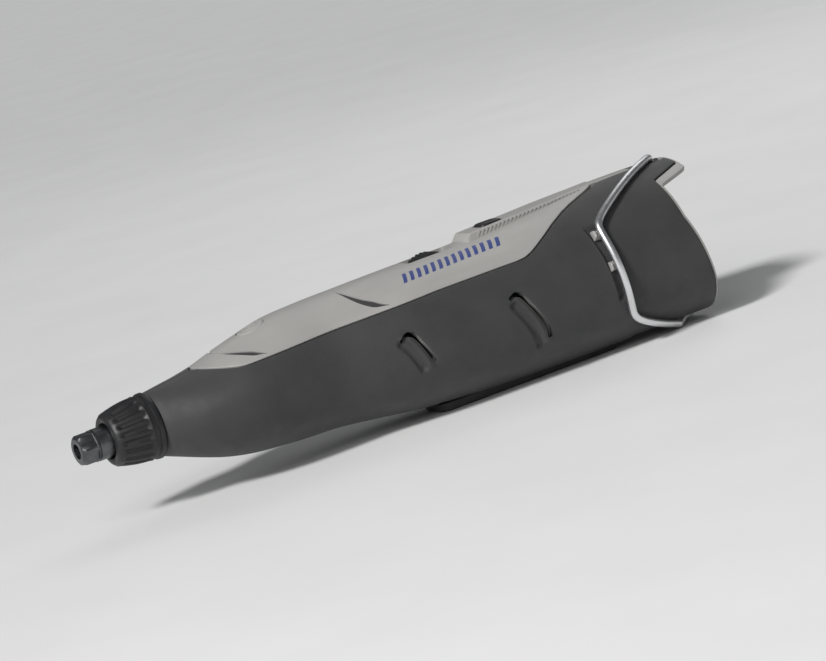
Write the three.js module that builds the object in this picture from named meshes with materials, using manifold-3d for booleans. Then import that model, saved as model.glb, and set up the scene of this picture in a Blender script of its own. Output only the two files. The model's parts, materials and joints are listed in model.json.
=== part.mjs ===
// A cordless rotary tool with a wire hanger bail: housing, grip, nose, spindle, motor, controls and
// battery socket. Everything is drawn about the tool's own axis first. X is the station along that axis,
// from the front of the housing at 0 towards the battery end. Y is across, with the left side at -Y,
// and Z is up, towards the spine.

import * as THREE from "three";
import { mergeVertices } from "three/addons/utils/BufferGeometryUtils.js";
import Module from "manifold-3d";

const wasm = await Module();
wasm.setup();

// ---------------------------------------------------------------- driving dimensions (mm)

const noseEnd = -25.5; // front face of the collet nut
const tongueEnd = 196.5; // rear end of the hanger tongue
const axisHeight = 27; // height of the tool's axis above the surface it rests on
const midStation = (noseEnd + tongueEnd) / 2;

const gripThickness = 1.5;
const gap = 0.3; // clearance between neighbouring pieces
const housingOutside = gripThickness + 0.2; // depth of the housing's skin below the grip's skin
const housingInside = housingOutside + 2; // depth of the housing's inner wall
const splitGap = 0.15; // half of the gap between the left and the right half
const aroundBody = 20; // facets round the body
const longestSpan = 30; // a longer span between two stations of the form gets a ring at its middle

// The skin's distance from the axis at each station: towards the spine, to the side and towards the belly.
const form = [
  { station: 0, top: 10.0, side: 10.5, belly: 10.0 },
  { station: 7, top: 10.8, side: 14.5, belly: 12.6 },
  { station: 13, top: 11.5, side: 17.6, belly: 14.8 },
  { station: 20, top: 12.8, side: 20.0, belly: 17.0 },
  { station: 28, top: 15.2, side: 21.0, belly: 18.6 },
  { station: 36, top: 17.4, side: 20.7, belly: 19.4 },
  { station: 45, top: 19.6, side: 20.1, belly: 20.0 },
  { station: 58, top: 20.6, side: 19.6, belly: 20.5 },
  { station: 70, top: 20.9, side: 21.9, belly: 21.8 },
  { station: 84, top: 21.2, side: 24.6, belly: 23.6 },
  { station: 100, top: 21.5, side: 25.3, belly: 25.0 },
  { station: 118, top: 21.9, side: 25.6, belly: 25.8 },
  { station: 140, top: 24.0, side: 25.9, belly: 26.2 },
  { station: 166, top: 25.9, side: 26.2, belly: 26.2 },
  { station: 198, top: 26.2, side: 26.2, belly: 26.2 },
];

// Spine panel: its outline seen from the side, and the ridge on its rear half.
const panelOutline = [
  [17.5, 12.4],
  [28.2, 10.2],
  [60, 11.6],
  [95, 13.0],
  [128.5, 13.4],
  [164, 26.4],
  [164, 40],
  [10, 40],
];
const stripHalfWidth = 3;
const stripEnd = 183;
const ridge = { start: 116.5, stepTop: 119, end: 168, halfWidth: 5, frontHeight: 24.0, rearHeight: 26.25 };

// Rear rim, seen from the side: the housing's edge from the tongue down to the belly.
const rimEdge = [
  [184.3, 20.3],
  [185.2, 9.7],
  [187.5, 1.9],
  [189.6, -5.6],
  [192.2, -14],
  [194.4, -22],
  [195.8, -28],
];
const tongueSide = 22.8; // height of the tongue's lower edge at its end
const rimBand = 1.0; // width of the housing's bare edge behind the grip

// Hanger bail: a wire loop that stands on an upright axis through the tongue and the belly.
const bail = {
  wire: 1.25,
  pivotStation: 192,
  reach: 27.8,
  frontStation: 155.2,
  legTurn: 36,
  topTurn: 81,
  bellyLimit: 25.6,
  holdTop: 23.2,
  holdBottom: -21.2,
};
const bellyFlat = { height: -24.0, start: 164 };

// Recess in the grip beside the bail's stowed leg, and the catch in it.
const recess = { start: 150.2, end: 158, floor: 25.1, lowDegrees: -15, highDegrees: 38 };
const latch = { start: 150.7, end: 152.7, bottom: 25.45, baseTop: 26.1, fingerTop: 27.6 };

// Shaft line, motor and nose.
const shaft = 3;
const rearShaft = 1.5;
const socketRadius = 3.7;
const frontBearing = { start: 20, end: 25, outer: 8 };
const rearBearing = { start: 92.6, end: 96.4, outer: 4.5 };
const lock = { station: 39.5, collarStart: 37, collarEnd: 42, collarRadius: 6.5, pin: 1.5, button: 4.6 };
const motor = { canStart: 49.6, canEnd: 85, outer: 14.8, inner: 13.4 };
const nose = { capFront: -15.5, capRear: -0.5, threadRadius: 8.0 };

// Controls and electronics.
const dial = { station: 104, radius: 9, halfWidth: 3.5, proud: 0.6 };
const power = { station: 128.5, length: 8, width: 6.4, proud: 0.7, foot: 17 };
const board = { start: 97.5, end: 128, bottom: 2.0, thickness: 1.6, halfWidth: 15 };

// Battery socket: a three-lobed sleeve with a front wall and a rear flange.
const socket = { front: 137, rear: 184, wall: 1.2, mean: 17.7, lobe: 2.3, flange: 1.4, flangeRadius: 22.1 };
const block = { front: 132.5, rear: 144, halfWidth: 9, halfHeight: 6 };

// Screws: station and height of each, with the head on the right side.
const screws = [
  { name: "housing_screw_front", station: 30.5, height: -11.2 },
  { name: "housing_screw_middle", station: 98.5, height: -16.4 },
  { name: "housing_screw_spine", station: 118.6, height: 13.6 },
  { name: "housing_screw_rear", station: 128.5, height: -16.6 },
];
const screw = { shank: 1.4, head: 2.6, headFace: 5, headHeight: 2, tip: -9 };
const boss = { left: 3.2, right: 4.3 };

// Vent slots, seen from the side: the two ends of each slot's middle line.
const vents = [
  { from: [78.3, 2.6], to: [85.6, -5.8] },
  { from: [117.5, 3.4], to: [126.5, -10.6] },
];
const ventHalfWidth = 1.1;

// Plain coloured stripe on the panel, seen from the side, and the pad that the tool rests on.
const stripeOutline = [[87, 17.2], [123, 18.4], [125.5, 20.9], [89.5, 19.7]];
const stripe = { fromMiddle: 4.6, depth: 0.55 };
const pad = { start: 92.4, end: 159.6, halfWidth: 7 };

const farAway = 60; // beyond the tool in any direction across its axis
const pastEnd = 260; // behind the tool's rear end

// ---------------------------------------------------------------- materials

const matte = (color, roughness) => new THREE.MeshStandardMaterial({ color, roughness, metalness: 0 });
const metal = (color, roughness) => new THREE.MeshStandardMaterial({ color, roughness, metalness: 1 });

const rubber = matte(0x3a3a3b, 0.8);
const lightPlastic = matte(0xa8a6a2, 0.5);
const blackPlastic = matte(0x1b1b1c, 0.55);
const bluePlastic = matte(0x2b4a9b, 0.5);
const felt = matte(0x8c8a80, 0.95);
const steel = metal(0xc4c6c8, 0.25);
const darkSteel = metal(0x6f7275, 0.45);
const copper = metal(0xb06a3c, 0.35);
const brass = metal(0xc9a227, 0.35);
const magnetGrey = matte(0x4b4d50, 0.7);
const boardGreen = matte(0x1f5a33, 0.6);
const aluminium = metal(0xb8babc, 0.4);
const redWire = matte(0xa82424, 0.6);
const blackWire = matte(0x161616, 0.6);

// ---------------------------------------------------------------- solids

// One closed mesh with shared corners, no empty faces, and its faces turned outwards.
function closed(geometry) {
  const bare = geometry.clone();
  for (const name of Object.keys(bare.attributes)) {
    if (name !== "position") bare.deleteAttribute(name);
  }
  const merged = mergeVertices(bare, 1e-4);
  const index = [];
  const source = merged.index.array;
  for (let i = 0; i < source.length; i += 3) {
    const [a, b, c] = [source[i], source[i + 1], source[i + 2]];
    if (a !== b && b !== c && c !== a) index.push(a, b, c);
  }
  merged.setIndex(signedVolume(merged, index) < 0 ? index.reverse() : index);
  return merged;
}

function signedVolume(geometry, index) {
  const position = geometry.attributes.position;
  const corner = (i) => new THREE.Vector3().fromBufferAttribute(position, i);
  let sum = 0;
  for (let i = 0; i < index.length; i += 3) {
    sum += corner(index[i]).dot(corner(index[i + 1]).cross(corner(index[i + 2]))) / 6;
  }
  return sum;
}

function toSolid(geometry) {
  const mesh = closed(geometry);
  const vertProperties = Float32Array.from(mesh.attributes.position.array);
  const triVerts = Uint32Array.from(mesh.index.array);
  return new wasm.Manifold(new wasm.Mesh({ numProp: 3, vertProperties, triVerts }));
}

function toGeometry(solid) {
  const mesh = solid.getMesh();
  const geometry = new THREE.BufferGeometry();
  geometry.setAttribute("position", new THREE.BufferAttribute(Float32Array.from(mesh.vertProperties), 3));
  geometry.setIndex(Array.from(mesh.triVerts));
  return geometry;
}

function combine(operation, first, others) {
  let result = toSolid(first);
  for (const other of others) {
    result = result[operation](toSolid(other));
  }
  return toGeometry(result);
}

const cut = (base, ...tools) => combine("subtract", base, tools);
const join = (base, ...others) => combine("add", base, others);
const common = (base, ...others) => combine("intersect", base, others);

function box(from, to) {
  const size = to.map((value, i) => value - from[i]);
  const middle = to.map((value, i) => (value + from[i]) / 2);
  return new THREE.BoxGeometry(...size).translate(...middle);
}

// A turned piece about the tool's axis. The profile is a closed loop of [station, radius] points.
function turned(profile, facets = 20) {
  const points = profile.map(([station, radius]) => new THREE.Vector2(radius, station));
  points.push(points[0].clone());
  return new THREE.LatheGeometry(points, facets).rotateZ(-Math.PI / 2);
}

// A plain ring or disc about the tool's axis.
function ring(start, end, outer, inner, facets = 20) {
  return turned([[start, inner], [start, outer], [end, outer], [end, inner]], facets);
}

// A round bar along X, Y or Z.
function bar(direction, radius, from, to, [a, b], facets = 16) {
  const rod = new THREE.CylinderGeometry(radius, radius, to - from, facets);
  const middle = (from + to) / 2;
  if (direction === "x") return rod.rotateZ(Math.PI / 2).translate(middle, a, b);
  if (direction === "y") return rod.translate(a, middle, b);
  return rod.rotateX(Math.PI / 2).translate(a, b, middle);
}

// A turned piece about an upright axis. The profile is a closed loop of [radius, height] points.
function uprightTurned(profile, station, across, facets = 16) {
  const points = profile.map(([radius, height]) => new THREE.Vector2(radius, height));
  points.push(points[0].clone());
  return new THREE.LatheGeometry(points, facets).rotateX(Math.PI / 2).translate(station, across, 0);
}

// An outline seen from the side, carried across the tool from one Y to another.
function prism(outline, fromY, toY) {
  const shape = new THREE.Shape(outline.map(([station, height]) => new THREE.Vector2(station, height)));
  const slab = new THREE.ExtrudeGeometry(shape, { depth: toY - fromY, bevelEnabled: false });
  return slab.rotateX(Math.PI / 2).translate(0, toY, 0);
}

// An outline in the cross-section plane, carried along the tool from one station to another.
function along(outline, start, end) {
  const shape = new THREE.Shape(outline.map(([across, height]) => new THREE.Vector2(across, height)));
  const slab = new THREE.ExtrudeGeometry(shape, { depth: end - start, bevelEnabled: false });
  return slab.rotateY(Math.PI / 2).rotateX(Math.PI / 2).translate(start, 0, 0);
}

// A wire or lead of round section through the given points.
function wire(points, radius, steps, sides = 8, tension = 0.5) {
  const path = new THREE.CatmullRomCurve3(points, false, "catmullrom", tension);
  const section = new THREE.Shape();
  section.absarc(0, 0, radius, 0, Math.PI * 2);
  const options = { steps, curveSegments: sides / 2, extrudePath: path, bevelEnabled: false };
  return new THREE.ExtrudeGeometry(section, options);
}

// Rings of points joined into one closed skin, with a flat end at each side.
function loft(rings) {
  const count = rings[0].length;
  const corners = rings.flat();
  const index = [];
  for (let r = 0; r + 1 < rings.length; r += 1) {
    for (let i = 0; i < count; i += 1) {
      const j = (i + 1) % count;
      const [a, b, c, d] = [r * count + i, r * count + j, (r + 1) * count + j, (r + 1) * count + i];
      index.push(a, b, c, a, c, d);
    }
  }
  const last = (rings.length - 1) * count;
  for (let i = 1; i + 1 < count; i += 1) {
    index.push(0, i + 1, i, last, last + i, last + i + 1);
  }
  const geometry = new THREE.BufferGeometry();
  const numbers = corners.flatMap((p) => [p.x, p.y, p.z]);
  geometry.setAttribute("position", new THREE.Float32BufferAttribute(numbers, 3));
  geometry.setIndex(index);
  return geometry;
}

// ---------------------------------------------------------------- body form

// A smooth value between the form's stations.
function formAt(station, key) {
  let i = 0;
  while (i + 2 < form.length && station > form[i + 1].station) i += 1;
  const slopeAt = (k) => {
    const low = form[Math.max(k - 1, 0)];
    const high = form[Math.min(k + 1, form.length - 1)];
    return (high[key] - low[key]) / (high.station - low.station);
  };
  const span = form[i + 1].station - form[i].station;
  const t = (station - form[i].station) / span;
  const rise = t * t * (3 - 2 * t);
  const startPull = t * (1 - t) * (1 - t) * span * slopeAt(i);
  const endPull = t * t * (t - 1) * span * slopeAt(i + 1);
  return form[i][key] * (1 - rise) + form[i + 1][key] * rise + startPull + endPull;
}

function bodyRing(station, depth) {
  const points = [];
  for (let i = 0; i < aroundBody; i += 1) {
    const angle = ((i + 0.5) / aroundBody) * Math.PI * 2;
    const [c, s] = [Math.cos(angle), Math.sin(angle)];
    const height = formAt(station, s > 0 ? "top" : "belly") - depth;
    const side = formAt(station, "side") - depth;
    points.push(new THREE.Vector3(station, side * c, height * s));
  }
  return points;
}

const formEnd = form[form.length - 1].station;

// The stations of the body's rings, from the form's own stations.
function ringStations() {
  const stations = [0];
  for (let i = 1; i < form.length; i += 1) {
    const [from, to] = [form[i - 1].station, form[i].station];
    if (to - from > longestSpan) stations.push((from + to) / 2);
    stations.push(to);
  }
  return stations;
}

// The body's solid shape at a given depth below the skin.
const body = (depth) => loft(ringStations().map((station) => bodyRing(station, depth)));

// A slice of the body's shape between two stations.
const bodySlice = (depth, start, end) => loft([bodyRing(start, depth), bodyRing(end, depth)]);

// The inside of the body at a given depth, long enough to be open at both ends.
function bodyInside(depth) {
  const rings = ringStations().map((station) => bodyRing(station, depth));
  const front = rings[0].map((p) => p.clone().setX(-2));
  const rear = rings[rings.length - 1].map((p) => p.clone().setX(formEnd + 2));
  return loft([front, ...rings, rear]);
}

const shell = (outsideDepth, insideDepth) => cut(body(outsideDepth), bodyInside(insideDepth));

const leftHalf = box([-farAway, -farAway, -farAway], [pastEnd, -splitGap, farAway]);
const rightHalf = box([-farAway, splitGap, -farAway], [pastEnd, farAway, farAway]);

// Everything behind the rear rim and below the tongue. A positive shift moves the edge forwards.
function behindRim(shift) {
  const edge = rimEdge.map(([station, height]) => [station - shift, height]);
  const [vertexStation] = rimEdge[0];
  const lift = shift * 1.4;
  const outline = [
    [vertexStation - shift, rimEdge[0][1] + lift],
    ...edge.slice(1),
    [edge[edge.length - 1][0], -farAway],
    [pastEnd, -farAway],
    [pastEnd, tongueSide + lift],
    [tongueEnd, tongueSide + lift],
  ];
  return prism(outline, -farAway, farAway);
}

const behindTongue = (shift) => box([tongueEnd - shift, -farAway, 0], [pastEnd, farAway, farAway]);

// The panel's area, grown by a margin all round.
function panelArea(margin) {
  const outline = panelOutline.map(([station, height], i) => {
    if (i === 0) return [station - margin * 1.5, height];
    if (i === 5) return [station + margin * 2.5, height + margin * 0.3];
    if (i === 6) return [station + margin * 2.5, height];
    return [station, height - margin];
  });
  const strip = box([150, -stripHalfWidth - margin, 20], [stripEnd + margin, stripHalfWidth + margin, 40]);
  const ridgeFoot = box(
    [150, -ridge.halfWidth - margin, 20],
    [ridge.end + margin, ridge.halfWidth + margin, 40],
  );
  return join(prism(outline, -farAway, farAway), strip, ridgeFoot);
}

// A straight slot with round ends, cut across the tool from one Y to another.
function ventCutter({ from, to }, halfWidth, fromY, toY) {
  const direction = Math.atan2(to[1] - from[1], to[0] - from[0]);
  const steps = 3;
  const roundEnd = ([station, height], startAngle) => {
    const points = [];
    for (let i = 0; i <= steps; i += 1) {
      const turn = startAngle + (i / steps) * Math.PI;
      points.push([station + halfWidth * Math.cos(turn), height + halfWidth * Math.sin(turn)]);
    }
    return points;
  };
  const outline = [...roundEnd(from, direction + Math.PI / 2), ...roundEnd(to, direction - Math.PI / 2)];
  return prism(outline, fromY, toY);
}

const ventHoles = (halfWidth) =>
  vents.flatMap((vent) => [
    ventCutter(vent, halfWidth, -farAway, -motor.outer),
    ventCutter(vent, halfWidth, motor.outer, farAway),
  ]);

// A part of a ring round the tool's axis, on one side. Angles rise from the side towards the spine.
function sectorOutline(inner, outer, fromDegrees, toDegrees, side, steps = 8) {
  const at = (radius, degrees) => {
    const angle = (degrees * Math.PI) / 180;
    return [side * radius * Math.cos(angle), radius * Math.sin(angle)];
  };
  const outline = [];
  const degreesAt = (i) => fromDegrees + ((toDegrees - fromDegrees) * i) / steps;
  for (let i = 0; i <= steps; i += 1) outline.push(at(outer, degreesAt(i)));
  for (let i = steps; i >= 0; i -= 1) outline.push(at(inner, degreesAt(i)));
  return outline;
}

function bailRecess(side) {
  const { start, end, floor, lowDegrees, highDegrees } = recess;
  return along(sectorOutline(floor, farAway, lowDegrees, highDegrees, side, 6), start, end);
}

// Openings through the spine for the lock button, the dial and the power button.
const spineOpenings = (margin) => [
  bar("z", lock.button + margin, 8, 30, [lock.station, 0], 20),
  box(
    [dial.station - 8.6, -dial.halfWidth - margin, 10],
    [dial.station + 8.6, dial.halfWidth + margin, 30],
  ),
  box(
    [power.station - power.length / 2 - margin, -power.width / 2 - margin, 12],
    [power.station + power.length / 2 + margin, power.width / 2 + margin, 30],
  ),
];

// ---------------------------------------------------------------- housing, grip and panel

function housing() {
  const ribs = [
    cut(bodySlice(housingOutside + 0.8, frontBearing.start - 1, frontBearing.end + 1),
      ring(-5, 60, frontBearing.outer + gap, 0)),
    cut(bodySlice(housingOutside + 0.8, 51, 53.5), ring(40, 60, motor.outer + gap, 0)),
    cut(bodySlice(housingOutside + 0.8, 80, 82.5), ring(70, 90, motor.outer + gap, 0)),
    cut(bodySlice(housingOutside + 0.8, 7.2, 9.4), ring(-5, 20, 5.9 + gap, 0)),
  ];
  const wall = join(shell(housingOutside, housingInside), ...ribs);
  const rim = common(shell(0.1, housingInside), behindRim(rimBand));
  return cut(
    join(wall, rim),
    behindRim(0),
    behindTongue(0),
    box([bellyFlat.start, -20, -farAway], [pastEnd, 20, bellyFlat.height]),
    bar("z", 3.7, 20, 30, [bail.pivotStation, 0]),
    bar("z", 3.3, -30, -20, [bail.pivotStation, 0]),
    ...ventHoles(ventHalfWidth),
    ...spineOpenings(0.6),
  );
}

function housingHalf(whole, half, side) {
  const inner = body(housingOutside + 0.8);
  const radius = side > 0 ? boss.right : boss.left;
  const [fromY, toY] = side > 0 ? [splitGap, farAway] : [-farAway, -splitGap];
  const bosses = screws.map(({ station, height }) =>
    common(bar("y", radius, fromY, toY, [station, height]), inner));
  let result = join(common(whole, half), ...bosses);
  for (const { station, height } of screws) {
    const shankHole = bar("y", screw.shank + gap, screw.tip - 1, 20, [station, height], 14);
    const headHole = bar("y", screw.head + 0.4, screw.headFace, farAway, [station, height], 14);
    result = side > 0 ? cut(result, shankHole, headHole) : cut(result, shankHole);
  }
  return result;
}

function grip() {
  const holes = screws.map(({ station, height }) =>
    bar("y", screw.head + 0.8, screw.headFace, farAway, [station, height], 14));
  return cut(
    shell(0, gripThickness),
    panelArea(gap),
    behindRim(rimBand + gap),
    behindTongue(rimBand * 0.6),
    box([bellyFlat.start, -20, -farAway], [pastEnd, 20, bellyFlat.height - 0.2]),
    box([pad.start - gap, -pad.halfWidth - gap, -farAway], [pad.end + gap, pad.halfWidth + gap, -20]),
    bailRecess(-1),
    bailRecess(1),
    bar("z", 4.2, 20, 30, [bail.pivotStation, 0]),
    bar("z", 4.2, -30, -20, [bail.pivotStation, 0]),
    ...ventHoles(ventHalfWidth + 0.5),
    ...holes,
  );
}

function spinePanel() {
  const { start, stepTop, end, halfWidth, frontHeight, rearHeight } = ridge;
  const foot = 20.9; // height of the ridge's front foot
  const side = [[start, foot], [stepTop, frontHeight], [end, rearHeight], [end, 25.2], [start, foot - 0.4]];
  const ridgeBlock = prism(side, -halfWidth, halfWidth);
  const skin = common(shell(0, gripThickness), panelArea(0));
  return cut(join(skin, ridgeBlock), ...spineOpenings(0.45), stripeArea(gap, -1), stripeArea(gap, 1));
}

// The recess in the panel for the coloured stripe on one side, with a margin round the stripe.
function stripeArea(margin, side) {
  const outline = stripeOutline.map(([station, height], i) => [
    station + (i === 1 || i === 2 ? margin : -margin),
    height + (i >= 2 ? margin : -margin),
  ]);
  const [fromY, toY] = side > 0 ? [stripe.fromMiddle, farAway] : [-farAway, -stripe.fromMiddle];
  return cut(prism(outline, fromY, toY), bodyInside(stripe.depth + margin * 0.5));
}

const accentStripe = (side) => common(stripeArea(0, side), body(0.05));

function bellyPad() {
  const block = box([pad.start, -pad.halfWidth, -axisHeight], [pad.end, pad.halfWidth, -22]);
  return cut(block, body(gripThickness));
}

// ---------------------------------------------------------------- nose and shaft line

function noseCap() {
  return turned([
    [nose.capFront, 5.6],
    [nose.capFront, 7.4],
    [nose.capFront + 1.2, 8.4],
    [nose.capFront + 7, 9.9],
    [nose.capRear - 3.4, 10.3],
    [nose.capRear - 3, 9.8],
    [nose.capRear - 2.2, 9.8],
    [nose.capRear - 1.8, 10.5],
    [nose.capRear, 10.5],
    [nose.capRear, nose.threadRadius + gap],
    [-12.6, nose.threadRadius + gap],
    [-12.6, 5.6],
  ], 20);
}

const noseSeal = () => ring(-12.3, -10.9, 7.9, 5.6);

function noseSleeve() {
  return turned([
    [-10.5, 4.8],
    [-10.5, nose.threadRadius],
    [-0.2, nose.threadRadius],
    [-0.2, 5.9],
    [9.8, 5.9],
    [9.8, 7.1],
    [12, 7.1],
    [12, 4.8],
  ]);
}

function colletNut() {
  const blank = turned([
    [noseEnd, 2.4],
    [noseEnd, 3.6],
    [noseEnd + 1.4, 5],
    [-14.8, 5],
    [-14.8, socketRadius + gap],
    [-21.4, socketRadius + gap],
    [-23.4, 2.4],
  ], 24);
  const hexagon = new THREE.CylinderGeometry(5.15, 5.15, 6, 6).rotateZ(Math.PI / 2);
  const round = ring(-20.2, -10, 6, 0);
  return common(blank, join(hexagon.translate(noseEnd + 2.5, 0, 0), round));
}

function collet() {
  const blank = turned([
    [-22.9, 1.6],
    [-22.9, 2.1],
    [-21.1, 3.4],
    [-19.2, 3.4],
    [-17.2, 2.6],
    [-6, 2.6],
    [-6, 1.6],
  ], 24);
  return cut(blank, box([-30, -0.25, -5], [-10, 0.25, 5]), box([-30, -5, -0.25], [-10, 5, 0.25]));
}

function spindle() {
  return turned([
    [-15, 2.9],
    [-15, socketRadius],
    [14, socketRadius],
    [14, shaft],
    [91.8, shaft],
    [91.8, rearShaft],
    [97.4, rearShaft],
    [97.4, 0],
    [6, 0],
    [6, 1.7],
    [-4, 1.7],
    [-4, 2.9],
  ], 18);
}

function bearing({ start, end, outer }, bore) {
  const middle = (outer + bore) / 2;
  const groove = 0.5;
  return turned([
    [start, bore],
    [start, middle - 1],
    [start + groove, middle - 0.9],
    [start + groove, middle + 0.9],
    [start, middle + 1],
    [start, outer],
    [end, outer],
    [end, middle + 1],
    [end - groove, middle + 0.9],
    [end - groove, middle - 0.9],
    [end, middle - 1],
    [end, bore],
  ], 16);
}

function lockCollar() {
  const blank = ring(lock.collarStart, lock.collarEnd, lock.collarRadius, shaft + gap);
  return cut(blank, bar("z", lock.pin + 0.4, -10, 10, [lock.station, 0], 10));
}

function lockButton() {
  const top = formAt(lock.station, "top") + 0.5;
  return uprightTurned([
    [0, 11.9],
    [5.3, 11.9],
    [5.3, 12.8],
    [lock.button, 12.8],
    [lock.button, top - 0.8],
    [lock.button - 0.8, top],
    [0, top],
  ], lock.station, 0, 24);
}

const lockPin = () => bar("z", lock.pin, 6.9, 11.6, [lock.station, 0], 12);

const lockGuide = () => uprightTurned([[1.9, 7.2], [4.4, 7.2], [4.4, 8.1], [1.9, 8.1]], lock.station, 0);

function lockSpring() {
  const turns = 2.5;
  const radius = 3.3;
  const thickness = 0.35;
  const points = [];
  const count = 10;
  for (let i = 0; i <= turns * count; i += 1) {
    const angle = (i / count) * Math.PI * 2;
    const height = 8.8 + (2.5 * i) / (turns * count);
    points.push(new THREE.Vector3(lock.station + radius * Math.cos(angle), radius * Math.sin(angle), height));
  }
  return wire(points, thickness, 32, 6);
}

function coolingFan() {
  const hub = ring(44.6, 48, 5, shaft + gap, 18);
  const back = ring(47.2, 48, 11.4, 4.6, 24);
  const blades = [];
  const count = 9;
  for (let i = 0; i < count; i += 1) {
    const blade = box([44.8, 4.6, -0.5], [47.5, 11.2, 0.5]).rotateX((i / count) * Math.PI * 2);
    blades.push(blade);
  }
  return join(hub, back, ...blades);
}

function motorCan() {
  return cut(
    ring(motor.canStart, motor.canEnd, motor.outer, motor.inner, 24),
    box([54, -20, -3], [60, 20, 3]),
  );
}

const motorFrontPlate = () => ring(48.3, 49.2, motor.outer, 4.4, 24);

function motorRearPlate() {
  return turned([
    [85.3, 12.9],
    [85.3, motor.outer],
    [93.4, motor.outer],
    [94, 14.2],
    [94, 6.4],
    [96.8, 6.4],
    [96.8, rearBearing.outer + gap],
    [92, rearBearing.outer + gap],
    [92, 12.9],
  ], 20);
}

function magnet(sign) {
  const outline = [];
  const steps = 8;
  for (let i = 0; i <= steps; i += 1) {
    const angle = (-60 + (120 * i) / steps) * (Math.PI / 180);
    outline.push([13.1 * Math.sin(angle), sign * 13.1 * Math.cos(angle)]);
  }
  for (let i = steps; i >= 0; i -= 1) {
    const angle = (-60 + (120 * i) / steps) * (Math.PI / 180);
    outline.push([11 * Math.sin(angle), sign * 11 * Math.cos(angle)]);
  }
  return along(outline, 52, 83);
}

function armatureCore() {
  const teeth = 7;
  const outline = [];
  for (let i = 0; i < teeth; i += 1) {
    const middle = (i / teeth) * Math.PI * 2;
    for (const [radius, offset] of [[6, -0.36], [9.2, -0.14], [9.2, -0.36], [10.5, -0.36], [10.7, 0],
      [10.5, 0.36], [9.2, 0.36], [9.2, 0.14], [6, 0.36]]) {
      outline.push([radius * Math.cos(middle + offset), radius * Math.sin(middle + offset)]);
    }
  }
  return cut(along(outline, 55, 80), ring(50, 85, shaft + gap, 0, 24));
}

function winding(start, end) {
  const shoulder = start + 0.8;
  return turned([
    [start, 4.6],
    [shoulder, 3.6],
    [end - 0.2, 3.6],
    [end, 8.6],
    [end - 1, 9.4],
    [shoulder, 8.4],
  ], 24);
}

const commutator = () => ring(85.7, 91, 5, shaft + gap, 24);

const brush = (side) => {
  const [near, far] = side > 0 ? [5.3, 12.4] : [-12.4, -5.3];
  return box([86.6, near, -1.8], [90.4, far, 1.8]);
};

// ---------------------------------------------------------------- controls and electronics

function dialHeight() {
  return formAt(dial.station, "top") + dial.proud - dial.radius;
}

function speedDial() {
  const height = dialHeight();
  const wheel = new THREE.CylinderGeometry(dial.radius, dial.radius, dial.halfWidth * 2, 36)
    .translate(dial.station, 0, height);
  const axle = bar("y", 1.5, -5.5, 8.6, [dial.station, height], 14);
  return join(wheel, axle);
}

function potentiometer() {
  const height = dialHeight();
  const round = bar("y", 3.2, 4.1, 8.6, [dial.station, height], 16);
  const boardTop = board.bottom + board.thickness;
  const foot = box([dial.station - 3, 4.1, boardTop + gap], [dial.station + 3, 8.6, height]);
  return cut(join(round, foot), bar("y", 1.8, 0, 20, [dial.station, height], 14));
}

function powerButton() {
  const top = ridgeHeight(power.station) + power.proud;
  const { station, length, width, foot } = power;
  const cap = box([station - length / 2, -width / 2, foot], [station + length / 2, width / 2, top]);
  const flange = box([station - 5.2, -4.4, foot], [station + 5.2, 4.4, foot + 1]);
  return join(cap, flange);
}

function ridgeHeight(station) {
  const { stepTop, end, frontHeight, rearHeight } = ridge;
  return frontHeight + ((rearHeight - frontHeight) * (station - stepTop)) / (end - stepTop);
}

const powerSwitch = () => join(
  box([power.station - 3, -3, 12.6], [power.station + 3, 3, 15.4]),
  bar("z", 1.7, 15, 15.9, [power.station, 0], 14),
);

const switchBoard = () => box([123.4, -9, 10.8], [133.4, 9, 12.3]);

const controllerBoard = () => box(
  [board.start, -board.halfWidth, board.bottom],
  [board.end, board.halfWidth, board.bottom + board.thickness],
);

function heatSink() {
  const base = box([101, -8, -0.6], [112, 8, board.bottom - gap]);
  const fins = [];
  for (let i = 0; i < 5; i += 1) {
    const across = -7.4 + i * 3.45;
    fins.push(box([101, across, -6], [112, across + 1, -0.3]));
  }
  return join(base, ...fins);
}

const capacitor = () => bar("x", 4, 114, 126, [-9, board.bottom - gap - 4], 20);

// ---------------------------------------------------------------- battery socket

function socketRing(station, depth) {
  const points = [];
  const count = 36;
  for (let i = 0; i < count; i += 1) {
    const angle = (i / count) * Math.PI * 2;
    const radius = socket.mean + socket.lobe * Math.cos(3 * (angle + Math.PI / 2)) + depth;
    points.push(new THREE.Vector3(station, radius * Math.cos(angle), radius * Math.sin(angle)));
  }
  return points;
}

function batterySocket() {
  const outer = loft([socketRing(socket.front, socket.wall), socketRing(socket.rear - 1, socket.wall)]);
  const flange = ring(socket.rear - socket.flange, socket.rear, socket.flangeRadius, 0, 36);
  const hollow = loft([socketRing(socket.front + 2, 0), socketRing(socket.rear + 5, 0)]);
  const blockHole = box(
    [socket.front - 2, -block.halfWidth - gap, -block.halfHeight - gap],
    [socket.front + 4, block.halfWidth + gap, block.halfHeight + gap],
  );
  return cut(join(outer, flange), hollow, blockHole);
}

const terminalBlock = () => cut(
  box([block.front, -block.halfWidth, -block.halfHeight], [block.rear, block.halfWidth, block.halfHeight]),
  ...[-5.5, 0, 5.5].map((across) => box([134.6, across - 0.9, -3.9], [145, across + 0.9, 3.9])),
);

const terminal = (across) => box([135, across - 0.5, -3.5], [152, across + 0.5, 3.5]);

function batteryLead(side) {
  return wire([
    new THREE.Vector3(132.1, side * 5, -2.5),
    new THREE.Vector3(129.6, side * 5.2, -2.6),
    new THREE.Vector3(124.5, side * 4 + 1.5, -2.4),
    new THREE.Vector3(121, side * 4 + 2, -0.6),
    new THREE.Vector3(119.8, side * 4 + 2, 1.6),
  ], 0.9, 9, 6);
}

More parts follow.
